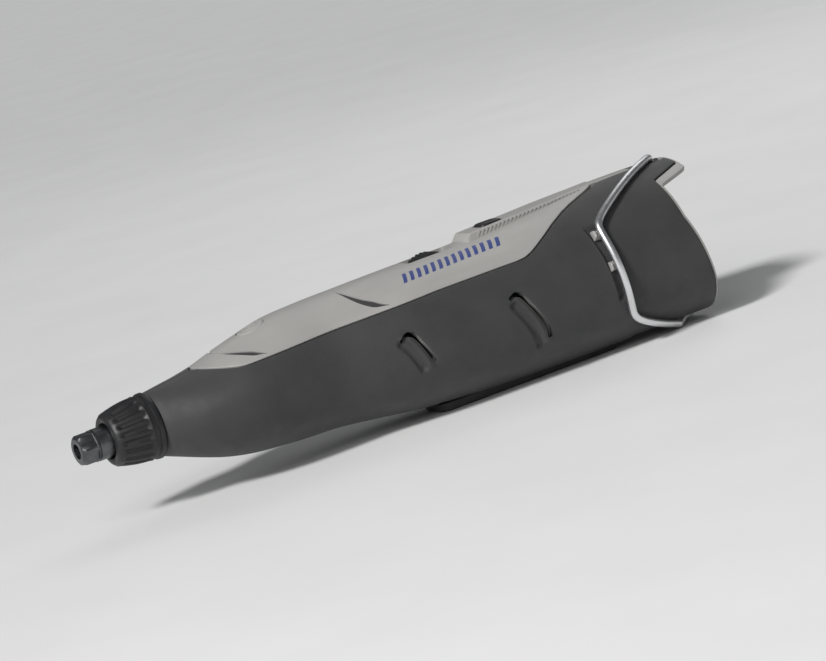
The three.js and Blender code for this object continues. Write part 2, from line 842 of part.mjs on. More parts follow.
function motorLead(side) {
  return wire([
    new THREE.Vector3(94.4, side * 10.5, -4.5),
    new THREE.Vector3(96.4, side * 10.8, -4.4),
    new THREE.Vector3(99.4, side * 11.2, -2.2),
    new THREE.Vector3(99.8, side * 11.3, 1.6),
  ], 0.9, 7, 6);
}

// ---------------------------------------------------------------- hanger bail

// A point of the bail's wrapped wire at an angle above the side, on the left of the tool.
function bailPoint(degrees) {
  const angle = (degrees * Math.PI) / 180;
  const beyond = Math.max(0, Math.abs(degrees) - bail.legTurn);
  const slope = (bail.pivotStation - 2.2 - bail.frontStation) / (bail.topTurn - bail.legTurn);
  const leg = bail.frontStation - 0.035 * Math.max(-bail.legTurn, Math.min(bail.legTurn, degrees));
  const height = Math.max(bail.reach * Math.sin(angle), -bail.bellyLimit);
  return new THREE.Vector3(leg + slope * beyond, -bail.reach * Math.cos(angle), height);
}

function hangerBail() {
  const pivot = bail.pivotStation;
  const points = [
    new THREE.Vector3(pivot, 0, bail.holdTop),
    new THREE.Vector3(pivot, 0, bail.holdTop + 2.8),
    new THREE.Vector3(pivot - 0.5, -0.7, bail.reach - 0.5),
  ];
  for (let degrees = 80; degrees >= -68; degrees -= 5) points.push(bailPoint(degrees));
  points.push(
    new THREE.Vector3(pivot - 4.2, -3.2, -bail.bellyLimit),
    new THREE.Vector3(pivot - 0.6, -0.7, -bail.bellyLimit + 0.2),
    new THREE.Vector3(pivot, 0, -bail.bellyLimit + 1.9),
    new THREE.Vector3(pivot, 0, bail.holdBottom),
  );
  return wire(points, bail.wire, 50, 8);
}

const hangerBushUpper = () => uprightTurned(
  [[1.6, 20.4], [4.2, 20.4], [4.2, 21.6], [3.4, 21.6], [3.4, 25.6], [1.6, 25.6]], bail.pivotStation, 0);

const hangerBushLower = () => uprightTurned(
  [[1.6, -23.7], [3, -23.7], [3, -22], [4.2, -22], [4.2, -20.6], [1.6, -20.6]], bail.pivotStation, 0);

// A catch for the bail's leg: a base strip in the recess with two fingers beside the wire.
function hangerCatch(side) {
  const { start, end, bottom, baseTop, fingerTop } = latch;
  const base = along(sectorOutline(bottom, baseTop, 0, 34, side, 6), start, end);
  const fingers = [[2, 9], [25, 32]].map(([from, to]) =>
    along(sectorOutline(bottom + 0.15, fingerTop, from, to, side, 2), start, end));
  return join(base, ...fingers);
}

// ---------------------------------------------------------------- assembly

function screwSolid({ station, height }) {
  const seat = screw.headFace + gap;
  const shank = bar("y", screw.shank, screw.tip, seat + 0.5, [station, height], 12);
  const head = bar("y", screw.head, seat, seat + screw.headHeight, [station, height], 14);
  const slot = box(
    [station - 1.5, screw.headFace + 1.3, height - 0.3],
    [station + 1.5, screw.headFace + 4, height + 0.3],
  );
  return cut(join(shank, head), slot);
}

const tool = new THREE.Group();
tool.position.set(-midStation, 0, axisHeight);

function place(name, geometry, material) {
  const mesh = new THREE.Mesh(closed(geometry), material);
  mesh.geometry.computeVertexNormals();
  mesh.name = name;
  tool.add(mesh);
}

const wholeHousing = housing();
place("housing_left", housingHalf(wholeHousing, leftHalf, -1), lightPlastic);
place("housing_right", housingHalf(wholeHousing, rightHalf, 1), lightPlastic);

const wholeGrip = grip();
place("grip_left", common(wholeGrip, leftHalf), rubber);
place("grip_right", common(wholeGrip, rightHalf), rubber);
place("spine_panel", spinePanel(), lightPlastic);
place("accent_stripe_left", accentStripe(-1), bluePlastic);
place("accent_stripe_right", accentStripe(1), bluePlastic);
place("belly_pad", bellyPad(), rubber);
for (const item of screws) place(item.name, screwSolid(item), darkSteel);

place("nose_cap", noseCap(), blackPlastic);
place("nose_seal", noseSeal(), felt);
place("nose_sleeve", noseSleeve(), aluminium);
place("collet_nut", colletNut(), darkSteel);
place("collet", collet(), steel);
place("spindle", spindle(), steel);
place("front_bearing", bearing(frontBearing, shaft + gap), steel);
place("rear_bearing", bearing(rearBearing, rearShaft + gap), steel);
place("lock_collar", lockCollar(), darkSteel);
place("lock_button", lockButton(), lightPlastic);
place("lock_pin", lockPin(), steel);
place("lock_guide", lockGuide(), blackPlastic);
place("lock_spring", lockSpring(), steel);
place("cooling_fan", coolingFan(), blackPlastic);
place("motor_can", motorCan(), darkSteel);
place("motor_front_plate", motorFrontPlate(), darkSteel);
place("motor_rear_plate", motorRearPlate(), blackPlastic);
place("magnet_upper", magnet(1), magnetGrey);
place("magnet_lower", magnet(-1), magnetGrey);
place("armature_core", armatureCore(), darkSteel);
place("winding_front", winding(49.9, 54.6), copper);
place("winding_rear", winding(80.4, 85.3), copper);
place("commutator", commutator(), copper);
place("brush_left", brush(-1), magnetGrey);
place("brush_right", brush(1), magnetGrey);
place("motor_lead_left", motorLead(-1), redWire);
place("motor_lead_right", motorLead(1), blackWire);

place("controller_board", controllerBoard(), boardGreen);
place("heat_sink", heatSink(), aluminium);
place("capacitor", capacitor(), blackPlastic);
place("speed_dial", speedDial(), blackPlastic);
place("speed_potentiometer", potentiometer(), blackPlastic);
place("power_button", powerButton(), blackPlastic);
place("power_switch", powerSwitch(), blackPlastic);
place("switch_board", switchBoard(), boardGreen);

place("battery_socket", batterySocket(), blackPlastic);
place("terminal_block", terminalBlock(), blackPlastic);
place("terminal_positive", terminal(5.5), brass);
place("terminal_data", terminal(0), brass);
place("terminal_negative", terminal(-5.5), brass);
place("battery_lead_positive", batteryLead(1), redWire);
place("battery_lead_negative", batteryLead(-1), blackWire);

place("hanger_bail", hangerBail(), steel);
place("hanger_bush_upper", hangerBushUpper(), darkSteel);
place("hanger_bush_lower", hangerBushLower(), darkSteel);
place("hanger_catch_left", hangerCatch(-1), lightPlastic);
place("hanger_catch_right", hangerCatch(1), lightPlastic);

const rotaryTool = new THREE.Group();
rotaryTool.add(tool);
export default rotaryTool;
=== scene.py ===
"""The looks of a cordless rotary tool with a wire hanger bail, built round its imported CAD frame.

Shapes are drawn in millimetres about the tool's own axis, as in the CAD: station along the axis from the
housing's front, across to the right, and height above the axis. place() turns them into the frame's metres.
"""

import json
import math
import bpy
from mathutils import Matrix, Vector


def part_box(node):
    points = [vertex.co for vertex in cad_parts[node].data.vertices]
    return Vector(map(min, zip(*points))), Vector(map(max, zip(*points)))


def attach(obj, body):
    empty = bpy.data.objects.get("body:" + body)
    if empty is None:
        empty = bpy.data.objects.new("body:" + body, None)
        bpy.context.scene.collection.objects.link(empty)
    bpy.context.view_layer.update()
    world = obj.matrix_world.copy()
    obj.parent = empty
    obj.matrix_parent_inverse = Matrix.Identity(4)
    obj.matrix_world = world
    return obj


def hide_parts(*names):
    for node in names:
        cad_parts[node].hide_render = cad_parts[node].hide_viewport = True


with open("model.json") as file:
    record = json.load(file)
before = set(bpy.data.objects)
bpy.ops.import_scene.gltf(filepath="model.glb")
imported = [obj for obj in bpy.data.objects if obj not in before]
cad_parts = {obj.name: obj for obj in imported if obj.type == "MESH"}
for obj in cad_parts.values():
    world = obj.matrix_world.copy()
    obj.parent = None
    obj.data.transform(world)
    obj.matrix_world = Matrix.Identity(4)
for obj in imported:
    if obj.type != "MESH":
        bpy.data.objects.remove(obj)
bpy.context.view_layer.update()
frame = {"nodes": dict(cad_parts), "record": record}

from types import SimpleNamespace as Sizes

import bmesh
import bpy
import numpy as np
from mathutils import Quaternion, Vector

MM = 0.001
HALF_TURN = math.pi
QUARTER = math.pi / 2

# The frame says where the tool's axis lies, and where the housing starts.
spindle_low, spindle_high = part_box("spindle")
AXIS_HEIGHT = (spindle_low.z + spindle_high.z) / 2
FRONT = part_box("housing_left")[0].x

# -------- driving dimensions (mm)

# The skin's distance from the axis at each station: towards the spine, to the side and towards the belly.
FORM = np.array([
    (0, 10.0, 10.5, 10.0),
    (7, 10.8, 14.5, 12.6),
    (13, 11.5, 17.6, 14.8),
    (20, 12.8, 20.0, 17.0),
    (28, 15.2, 21.0, 18.6),
    (36, 17.4, 20.7, 19.4),
    (45, 19.6, 20.1, 20.0),
    (58, 20.6, 19.6, 20.5),
    (70, 20.9, 21.9, 21.8),
    (84, 21.2, 24.6, 23.6),
    (100, 21.5, 25.3, 25.0),
    (118, 21.9, 25.6, 25.8),
    (140, 24.0, 25.9, 26.2),
    (166, 25.9, 26.2, 26.2),
    (198, 26.2, 26.2, 26.2),
])
TOP, SIDE, BELLY = 1, 2, 3
SIDE_NAME = {-1: "left", 1: "right"}
OUTSIDE = 40  # beyond the skin, where a cutter ends
SHARP_DEGREES = 38  # an edge bent by more than this is shaded sharp

GRIP_THICKNESS = 1.5
HOUSING_OUTSIDE = 1.7
HOUSING_INSIDE = 3.7
GAP = 0.3
SEAM = 0.15  # half of the gap between the left and the right half

# The panel's lower edge, as (station, height).
PANEL_EDGE = [
    (17.5, 12.4), (24.5, 10.9), (26.6, 10.5), (28.6, 10.35), (31, 10.4), (60, 11.6), (95, 13.0),
    (124.5, 13.35), (127.2, 13.6), (129.4, 14.2), (131.5, 15.0), (136.3, 17.1), (142.5, 19.8), (148.7, 22.0),
    (153.5, 23.3), (159.2, 24.5), (165.4, 25.6), (170, 26.4),
]
# Each groove runs over the spine, as (station, distance from the middle).
GROOVES = [
    {"path": [(25.3, 0), (26.0, 3.7), (27.3, 7.4), (29.1, 10.2), (31.1, 12.4), (33.2, 14.1), (36.0, 15.6)],
     "half": 0.78},
    {"path": [(68.4, 0), (68.8, 6.3), (70.2, 11.1), (72.3, 14.3), (75.4, 16.8), (78.6, 18.4)],
     "half": 1.0},
]
GROOVE_DEPTH = 1.2
# painted groove shade: the dark strip's top lies this far below the panel's skin
SHADE_INLAY_DEPTH = 0.4
STRIP = Sizes(half=3, rear_half=1.9, end=183)
RIDGE = Sizes(start=116.5, step=119, taper=148, end=168, half=5, rear_half=3.4, front_height=24.0,
              rear_height=26.25, shoulder=0.35)
HATCH = Sizes(count=26, start=120.5, pitch=1.55, width=0.62, lean=1.38, sunk=0.2, proud=0.38)

# The housing's rear edge under its tongue, as (station, height).
RIM_EDGE = [
    (184.3, 20.3), (185.2, 9.7), (187.5, 1.9), (189.6, -5.6), (192.2, -14), (194.4, -22), (195.8, -28),
]
TONGUE_END = 196.5
TONGUE_SIDE = 22.8
RIM_BAND = 0.95  # how far the grip stops in front of the housing's rear edge
MOUTH = Sizes(chamfer=1.9, reach=7)  # the housing's wall thins towards its rear edge
LAST_COMMON = 172  # behind this station the rows of points bend towards the rim's outline
FAR_ROWS = 26  # how many rows lie behind it
BAND_ROWS = 6  # the last of those, which lie on the housing's bare band
BELLY_FLAT = Sizes(height=-24.0, start=164)

BAIL = Sizes(wire=1.25, pivot=192, reach=27.8, front=155.2, leg_turn=36, top_turn=81, belly=25.6, bend=5,
             leg_slope=0.065)
RECESS = Sizes(ahead=2.7, end=158.2, depth=1.36, low=-22, high=40.5)
LATCH = Sizes(front=2.15, step=1.45, rear=0.7, bottom=24.5, seat=26.2, top=27.1)

VENTS = [
    [(77.4, 2.2), (79.4, 3.4), (81.8, 2.0), (86.2, -6.3)],
    [(116.3, 3.4), (118.9, 4.0), (121.5, 1.2), (126.4, -7.4), (127.7, -12.0)],
]
VENT_HALF = 0.85
# The skin round a vent: a soft lip at its slot, a scoop in front of it, and a raised flap between them.
VENT_LAYERS = [
    {"shift": (0, 0), "from": 0, "depth": 0.35, "half": 1.2, "power": 2},
    {"shift": (-3.8, -1.9), "from": 10, "depth": 1.15, "half": 1.35, "power": 4},
    {"shift": (-1.9, -0.9), "from": 5, "depth": -0.8, "half": 0.85, "power": 2},
]
SCREWS = [
    ("housing_screw_front", 30.5, -11.2),
    ("housing_screw_middle", 98.5, -16.4),
    ("housing_screw_spine", 118.6, 13.6),
    ("housing_screw_rear", 128.5, -16.6),
]
SCREW_HEAD = Sizes(radius=2.6, face=5.3, height=2, hole_from=5)

LOCK = Sizes(station=39.5, radius=4.6, flange=5.3, bottom=11.9, flange_top=12.8)
LOCK_POCKET = Sizes(inner=2.7, outer=3.95, roof=14.4)  # holds the spring when the button is pressed
DIAL = Sizes(station=104, radius=9, half=3.5)
POWER = Sizes(station=128.5, length=8, width=6.4)
SOCKET = Sizes(front=137, rear=184, wall=1.2, mean=17.7, lobe=2.3, flange_radius=22.1)
PAD = Sizes(start=92.4, end=159.6, half=7, floor=-27)

BARS = Sizes(count=14, width=0.5, start=87.2, length=36, lean=2.4, foot=17.3, climb=1.2, height=2.4)

LIP = np.array([0, 0.08, 0.2, 0.4])  # distances from an edge at which its rounding is drawn


# -------- mesh code


def form_at(station, column):
    """A smooth value between the form's stations."""
    x, y = FORM[:, 0], FORM[:, column]
    slope = np.empty(len(x))
    slope[1:-1] = (y[2:] - y[:-2]) / (x[2:] - x[:-2])
    slope[0] = (y[1] - y[0]) / (x[1] - x[0])
    slope[-1] = (y[-1] - y[-2]) / (x[-1] - x[-2])
    i = np.clip(np.searchsorted(x, station, side="right") - 1, 0, len(x) - 2)
    span = x[i + 1] - x[i]
    t = (station - x[i]) / span
    rise = t * t * (3 - 2 * t)
    pull = t * (1 - t) * span * ((1 - t) * slope[i] - t * slope[i + 1])
    return y[i] * (1 - rise) + y[i + 1] * rise + pull


def body_height(station, turn):
    """The skin's height above the axis, at an angle above the side."""
    return np.where(turn > 0, form_at(station, TOP), form_at(station, BELLY)) * np.sin(turn)


def skin(station, turn, depth, side):
    """Points a depth below the body's skin. turn is the angle above the side, and side is -1 on the left."""
    station, turn, depth = np.broadcast_arrays(station, turn, depth)
    wide = form_at(station, SIDE) - depth
    tall = np.where(turn > 0, form_at(station, TOP), form_at(station, BELLY)) - depth
    return np.stack([station, side * wide * np.cos(turn), tall * np.sin(turn)], axis=-1)


def place(points):
    """Millimetres about the tool's axis, turned into the frame's metres."""
    moved = np.asarray(points, float) * MM
    return moved + np.array([FRONT, 0, AXIS_HEIGHT])


def smooth(value, low, high):
    t = np.clip((value - low) / (high - low), 0, 1)
    return t * t * (3 - 2 * t)


def full_circle(count):
    return np.arange(count) / count * 2 * HALF_TURN


def grid_quads(index):
    a, b, c, d = index[:-1, :-1], index[1:, :-1], index[1:, 1:], index[:-1, 1:]
    return np.stack([a, b, c, d], axis=-1).reshape(-1, 4).tolist()


def shell(outer, inner):
    """A closed shell between two grids of points."""
    rows, columns, _ = outer.shape
    index = np.arange(rows * columns).reshape(rows, columns)
    under = index + rows * columns
    faces = grid_quads(index) + grid_quads(under[:, ::-1])
    border = [*index[0], *index[1:, -1], *index[-1, -2::-1], *index[-2:0:-1, 0]]
    for a, b in zip(border, border[1:] + border[:1]):
        faces.append([int(b), int(a), int(under.flat[a]), int(under.flat[b])])
    return np.concatenate([outer.reshape(-1, 3), inner.reshape(-1, 3)]), faces


def ringed(rings):
    """Closed rings of points, one after another, with a face over the first and the last."""
    rows, columns = len(rings), len(rings[0])
    index = np.arange(rows * columns).reshape(rows, columns)
    faces = grid_quads(np.concatenate([index, index[:, :1]], axis=1))
    faces += [index[0, ::-1].tolist(), index[-1].tolist()]
    return np.concatenate(rings), faces


def turned(profile, centre=(0, 0, 0), axis="x", segments=72, shape=None):
    """A turned piece, from a closed loop of [along, radius]. shape may change the radius by angle."""
    loop = np.array(profile, float)
    angle = full_circle(segments)
    along = np.repeat(loop[:, :1], segments, axis=1)
    radius = np.repeat(loop[:, 1:], segments, axis=1)
    if shape:
        radius = shape(along, radius, angle[None, :])
    c, s = radius * np.cos(angle), radius * np.sin(angle)
    points = {"x": [along, c, s], "y": [c, along, s], "z": [c, s, along]}[axis]
    index = np.arange(loop.shape[0] * segments).reshape(-1, segments)
    index = np.concatenate([index, index[:1]], axis=0)
    index = np.concatenate([index, index[:, :1]], axis=1)
    return np.stack(points, axis=-1).reshape(-1, 3) + np.array(centre), grid_quads(index)


def drill(radius, low, high, centre, axis, segments=48):
    """A round cutter along an axis."""
    return turned([(low, 0), (low, radius), (high, radius), (high, 0)], centre, axis, segments)


def rounded(profile, radius=0.3, steps=3):
    """The same closed loop with each sharp corner rounded."""
    loop = np.array(profile, float)
    out = []
    for before, corner, after in zip(np.roll(loop, 1, axis=0), loop, np.roll(loop, -1, axis=0)):
        back, ahead = before - corner, after - corner
        lengths = np.hypot(*back), np.hypot(*ahead)
        reach = min(radius, 0.45 * lengths[0], 0.45 * lengths[1])
        if reach < 1e-3 or corner[1] < 1e-6:
            out.append(corner)
            continue
        start, end = corner + back / lengths[0] * reach, corner + ahead / lengths[1] * reach
        for k in range(steps + 1):
            t = k / steps
            out.append(start * (1 - t) ** 2 + 2 * corner * t * (1 - t) + end * t * t)
    return out


def prism(outline, low, high, axis="y"):
    """An outline of [station, height] carried across the tool, or of [station, across] carried upwards."""
    flat = np.array(outline, float)
    ends = []
    for value in (low, high):
        level = np.full(len(flat), value)
        ends.append(np.stack([flat[:, 0], level, flat[:, 1]] if axis == "y" else [*flat.T, level], axis=-1))
    return ringed(ends)


def rounded_rectangle(middle, half_length, half_width, radius, steps=6):
    outline = []
    for quarter in range(4):
        cx = middle + (half_length - radius) * (1 if quarter in (0, 3) else -1)
        cy = (half_width - radius) * (1 if quarter in (0, 1) else -1)
        for k in range(steps + 1):
            angle = (quarter + k / steps) * QUARTER
            outline.append((cx + radius * math.cos(angle), cy + radius * math.sin(angle)))
    return outline


def stacked(levels, middle, half_length, half_width, corner, steps=6):
    """Rounded rectangles of (height, inset), one on another. corner gives their radius at an inset."""
    rings = []
    for height, inset in levels:
        outline = rounded_rectangle(middle, half_length - inset, half_width - inset, corner(inset), steps)
        rings.append(np.array([[station, across, height] for station, across in outline]))
    return ringed(rings)


def block(start, end, half_width, half_height, radius):
    """A box about the tool's axis, with rounded edges."""
    steps = 3
    upper = []
    for k in range(steps + 1):
        angle = k / steps * QUARTER
        upper.append((half_height - radius * (1 - math.sin(angle)), radius * (1 - math.cos(angle))))
    levels = [(-height, inset) for height, inset in upper[::-1]] + upper
    return stacked(levels, (start + end) / 2, (end - start) / 2, half_width,
                   lambda inset: radius - inset + 0.05, steps)


def curve_through(points, steps):
    """A smooth path through points, with the given number of steps between each two."""
    p = np.array(points, float)
    p = np.concatenate([[2 * p[0] - p[1]], p, [2 * p[-1] - p[-2]]])
    out = []
    for a, b, c, d in zip(p, p[1:], p[2:], p[3:]):
        for k in range(steps):
            t = k / steps
            out.append(0.5 * (2 * b + (c - a) * t + (2 * a - 5 * b + 4 * c - d) * t**2
                              + (3 * b - a - 3 * c + d) * t**3))
    out.append(p[-2])
    return np.array(out)


def tube(path, radius, sides=16):
    """A round wire along a path, with domed ends."""
    tangents = np.gradient(path, axis=0)
    tangents /= np.linalg.norm(tangents, axis=1)[:, None]
    dome = 0.4 * radius
    centres = [path[0] - tangents[0] * dome, *path, path[-1] + tangents[-1] * dome]
    tangents = [tangents[0], *tangents, tangents[-1]]
    sizes = [0.7 * radius, *[radius] * len(path), 0.7 * radius]
    normal = np.cross(tangents[0], [0.3, 0.9, 0.2])
    angle = full_circle(sides)
    rings = []
    for centre, tangent, size in zip(centres, tangents, sizes):
        normal = normal - tangent * normal.dot(tangent)
        normal /= np.linalg.norm(normal)
        other = np.cross(tangent, normal)
        rings.append(centre + size * (np.outer(np.cos(angle), normal) + np.outer(np.sin(angle), other)))
    return ringed(rings)


def away_from(path, station, height):
    """The distance of each point from a path, both seen from the side."""
    best = np.full(np.broadcast(station, height).shape, 1e9)
    for (x0, z0), (x1, z1) in zip(path, path[1:]):
        dx, dz = x1 - x0, z1 - z0
        t = np.clip(((station - x0) * dx + (height - z0) * dz) / (dx * dx + dz * dz), 0, 1)
        best = np.minimum(best, np.hypot(station - x0 - t * dx, height - z0 - t * dz))
    return best


def ribbon(path, half):
    """The outline of a stroke along a path, with round ends."""
    p = np.asarray(path)
    t = np.gradient(p, axis=0)
    heading = np.arctan2(t[:, 1], t[:, 0])
    aside = half * np.stack([-np.sin(heading), np.cos(heading)], axis=-1)
    caps = []
    for centre, start in ((p[-1], heading[-1] + QUARTER), (p[0], heading[0] - QUARTER)):
        angle = start - np.arange(1, 8) * HALF_TURN / 8
        caps.append(centre + half * np.stack([np.cos(angle), np.sin(angle)], axis=-1))
    return np.concatenate([p + aside, caps[0], (p - aside)[::-1], caps[1]])


def make_object(name, parts, sharp_degrees=SHARP_DEGREES):
    """One object from several closed parts, with smooth shading up to a sharp angle."""
    points, faces = [], []
    for part_points, part_faces in parts:
        start = len(points)
        points.extend(place(part_points).tolist())
        faces.extend([[i + start for i in face] for face in part_faces])
    mesh = bpy.data.meshes.new(name)
    mesh.from_pydata(points, [], faces)
    work = bmesh.new()
    work.from_mesh(mesh)
    bmesh.ops.remove_doubles(work, verts=work.verts, dist=2e-6)
    bmesh.ops.recalc_face_normals(work, faces=work.faces)
    work.to_mesh(mesh)
    work.free()
    shade(mesh, sharp_degrees)
    return add_object(name, mesh)


def add_object(name, data):
    made = bpy.data.objects.new(name, data)
    bpy.context.scene.collection.objects.link(made)
    return made


def shade(mesh, sharp_degrees=SHARP_DEGREES):
    mesh.shade_smooth()
    mesh.set_sharp_from_angle(angle=math.radians(sharp_degrees))


def cut(target, tools):
    """Cuts closed parts, which don't touch each other, out of an object."""
    cutter = make_object("cutter", tools)
    modifier = target.modifiers.new("cut", "BOOLEAN")
    modifier.operation = "DIFFERENCE"
    modifier.solver = "MANIFOLD"
    modifier.object = cutter
    bpy.context.view_layer.update()
    graph = bpy.context.evaluated_depsgraph_get()
    mesh = bpy.data.meshes.new_from_object(target.evaluated_get(graph))
    target.modifiers.clear()
    target.data = mesh
    shade(mesh)
    bpy.data.objects.remove(cutter)


def piece(name, parts, body, slot, sharp_degrees=SHARP_DEGREES, cutters=(), replaced=None):
    """A finished piece, which stands for the CAD node of its own name unless replaced says otherwise."""
    made = make_object(name, parts, sharp_degrees)
    for tools in cutters:
        cut(made, tools)
    made.data.materials.clear()
    made.data.materials.append(MATERIALS[slot])
    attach(made, body)
    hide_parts(*([name] if replaced is None else replaced))


# -------- materials


class Recipe:
    """A Principled material, with short calls for the nodes that vary it."""

    def __init__(self, name, roughness, metallic=0.0, specular=0.5):
        self.material = bpy.data.materials.new(name)
        self.material.use_nodes = True
        self.nodes = self.material.node_tree.nodes
        self.links = self.material.node_tree.links
        self.shader = self.nodes["Principled BSDF"]
        self.shader.inputs["Roughness"].default_value = roughness
        self.shader.inputs["Metallic"].default_value = metallic
        self.shader.inputs["Specular IOR Level"].default_value = specular
        self.where = self.nodes.new("ShaderNodeTexCoord").outputs["Object"]

    def node(self, kind, **values):
        """A shader node with some of its inputs set."""
        made = self.nodes.new("ShaderNode" + kind)
        for name, value in values.items():
            made.inputs[name.replace("_", " ")].default_value = value
        return made

    def pattern(self, kind, size_mm, stretch=(1, 1, 1), **values):
        """A pattern with features of a size in millimetres."""
        made = self.node(kind, Scale=1 / (size_mm * MM), **values)
        mapping = self.node("Mapping", Scale=stretch)
        self.links.new(self.where, mapping.inputs["Vector"])
        self.links.new(mapping.outputs["Vector"], made.inputs["Vector"])
        return made

    def noise(self, size_mm, detail=3.0, stretch=(1, 1, 1)):
        return self.pattern("TexNoise", size_mm, stretch, Detail=detail).outputs["Fac"]

    def cells(self, size_mm):
        return self.pattern("TexVoronoi", size_mm).outputs["Distance"]

    def waves(self, size_mm, direction):
        made = self.pattern("TexWave", 2 * size_mm, Distortion=0.4)
        made.bands_direction = direction
        return made.outputs["Fac"]

    def ranged(self, value, low, high, start=0.3, end=0.7):
        made = self.node("MapRange", From_Min=start, From_Max=end, To_Min=low, To_Max=high)
        self.links.new(value, made.inputs["Value"])
        return made.outputs["Result"]

    def colour(self, value, first, second, start=0.3, end=0.7):
        value = self.ranged(value, 0, 1, start, end)
        made = self.nodes.new("ShaderNodeMix")
        made.data_type = "RGBA"
        colours = [i for i in made.inputs if i.type == "RGBA"]
        colours[0].default_value = (*first, 1)
        colours[1].default_value = (*second, 1)
        self.links.new(value, made.inputs["Factor"])
        self.links.new(next(o for o in made.outputs if o.type == "RGBA"), self.shader.inputs["Base Color"])

    def rough(self, value, low, high):
        self.links.new(self.ranged(value, low, high), self.shader.inputs["Roughness"])

    def bump(self, *layers):
        """Bumps from (height, depth in millimetres) layers, one on another."""
        normal = None
        for height, depth in layers:
            made = self.node("Bump", Strength=1, Distance=depth * MM)
            self.links.new(height, made.inputs["Height"])
            if normal:
                self.links.new(normal, made.inputs["Normal"])
            normal = made.outputs["Normal"]
        self.links.new(normal, self.shader.inputs["Normal"])


def soft_rubber():
    """Dark overmoulded rubber: a fine eroded grain, faint cloudiness and a matte skin."""
    r = Recipe("soft_rubber", 0.62, specular=0.42)
    r.shader.inputs["Sheen Weight"].default_value = 0.12
    r.shader.inputs["Sheen Roughness"].default_value = 0.5
    cloud = r.noise(14, 4)
    r.colour(cloud, (0.033, 0.033, 0.034), (0.042, 0.042, 0.043))
    r.rough(r.noise(5, 5), 0.56, 0.70)
    r.bump((r.noise(0.3, 2), 0.035), (r.noise(1.1, 3), 0.05))
    return r.material


def moulded(name, dark, light, low, high, grain=0.02):
    """Moulded plastic: spark-eroded texture, slight flow marks along the tool, and uneven gloss."""
    r = Recipe(name, (low + high) / 2)
    flow = r.noise(9, 4, (0.35, 1, 1))
    r.colour(flow, dark, light)
    r.rough(r.noise(3.5, 5), low, high)
    r.bump((r.noise(0.25, 2), grain), (r.noise(6, 2), 0.05))
    return r.material


def plated_wire():
    """Satin plating on drawn wire, a little uneven in gloss."""
    r = Recipe("plated_wire", 0.34, metallic=1)
    r.colour(r.noise(7, 3), (0.78, 0.78, 0.79), (0.88, 0.88, 0.89))
    r.rough(r.noise(2.5, 3), 0.30, 0.38)
    r.bump((r.noise(1.5, 2), 0.002))
    return r.material


def worked_metal(name, dark, light, low, high, stretch, mark=0.01):
    """Turned, ground or rolled metal: fine marks along one direction and mild stains."""
    r = Recipe(name, (low + high) / 2, metallic=1)
    r.colour(r.noise(5, 5), dark, light)
    r.rough(r.noise(0.5, 4, stretch), low, high)
    r.bump((r.noise(0.3, 3, stretch), mark))
    return r.material


def wound_copper():
    """Enamelled copper wire: fine turns round the coil with amber varnish on them."""
    r = Recipe("wound_copper", 0.3, metallic=0.85)
    turns = r.waves(0.45, "X")
    r.colour(turns, (0.20, 0.055, 0.02), (0.52, 0.20, 0.08), 0, 1)
    r.rough(r.noise(1.5, 3), 0.22, 0.38)
    r.bump((turns, 0.12))
    return r.material


def solder_mask():
    """A circuit board's green mask, with paler tracks and pads under it."""
    r = Recipe("solder_mask", 0.35)
    tracks = r.cells(2.4)
    r.colour(tracks, (0.03, 0.20, 0.07), (0.012, 0.085, 0.03), 0.25, 0.4)
    r.rough(r.noise(2, 3), 0.28, 0.42)
    r.bump((r.ranged(tracks, 0, 1, 0.25, 0.4), 0.03))
    return r.material


def pressed_felt():
    """Pressed felt: matted fibres."""
    r = Recipe("pressed_felt", 0.95, specular=0.2)
    r.shader.inputs["Sheen Weight"].default_value = 0.4
    fibres = r.noise(0.35, 6, (1, 2.5, 1))
    r.colour(fibres, (0.17, 0.165, 0.15), (0.30, 0.29, 0.26))
    r.rough(fibres, 0.9, 1.0)
    r.bump((fibres, 0.15))
    return r.material


def sintered():
    """Ferrite and carbon: dull, dark and slightly grainy."""
    r = Recipe("sintered", 0.6, metallic=0.2)
    r.colour(r.noise(0.6, 5), (0.045, 0.045, 0.05), (0.09, 0.09, 0.095))
    r.rough(r.noise(1.1, 4), 0.5, 0.72)
    r.bump((r.noise(0.4, 4), 0.03))
    return r.material


ROUND_AXIS = (0.08, 1, 1)
ALONG_AXIS = (1, 0.08, 0.08)
MATERIALS = {
    "light_plastic": moulded("warm_grey_plastic", (0.315, 0.310, 0.298), (0.350, 0.344, 0.330), 0.40, 0.54),
    "grip_rubber": soft_rubber(),
    "blue_plastic": moulded("blue_plastic", (0.012, 0.028, 0.15), (0.018, 0.040, 0.20), 0.36, 0.48),
    "black_plastic": moulded("black_nylon", (0.010, 0.010, 0.011), (0.017, 0.017, 0.018), 0.38, 0.55, 0.03),
    "felt": pressed_felt(),
    "bright_steel": worked_metal("ground_steel", (0.50, 0.51, 0.52), (0.63, 0.64, 0.65), 0.16, 0.32,
                                 ROUND_AXIS),
    "bail_chrome": plated_wire(),
    "dark_steel": worked_metal("blackened_steel", (0.10, 0.105, 0.11), (0.19, 0.195, 0.20), 0.28, 0.46,
                               ROUND_AXIS),
    "sleeve_aluminium": worked_metal("turned_aluminium", (0.46, 0.47, 0.48), (0.56, 0.57, 0.58), 0.26, 0.42,
                                     ROUND_AXIS),
    "copper": wound_copper(),
    "contact_brass": worked_metal("rolled_brass", (0.50, 0.31, 0.06), (0.66, 0.43, 0.10), 0.20, 0.36,
                                  ALONG_AXIS),
    "magnet_ferrite": sintered(),
    "circuit_board": solder_mask(),
    "red_lead": moulded("red_insulation", (0.30, 0.016, 0.014), (0.42, 0.026, 0.02), 0.36, 0.5),
    "black_lead": moulded("black_insulation", (0.007, 0.007, 0.007), (0.014, 0.014, 0.014), 0.36, 0.5),
}


# -------- outlines of the body's pieces


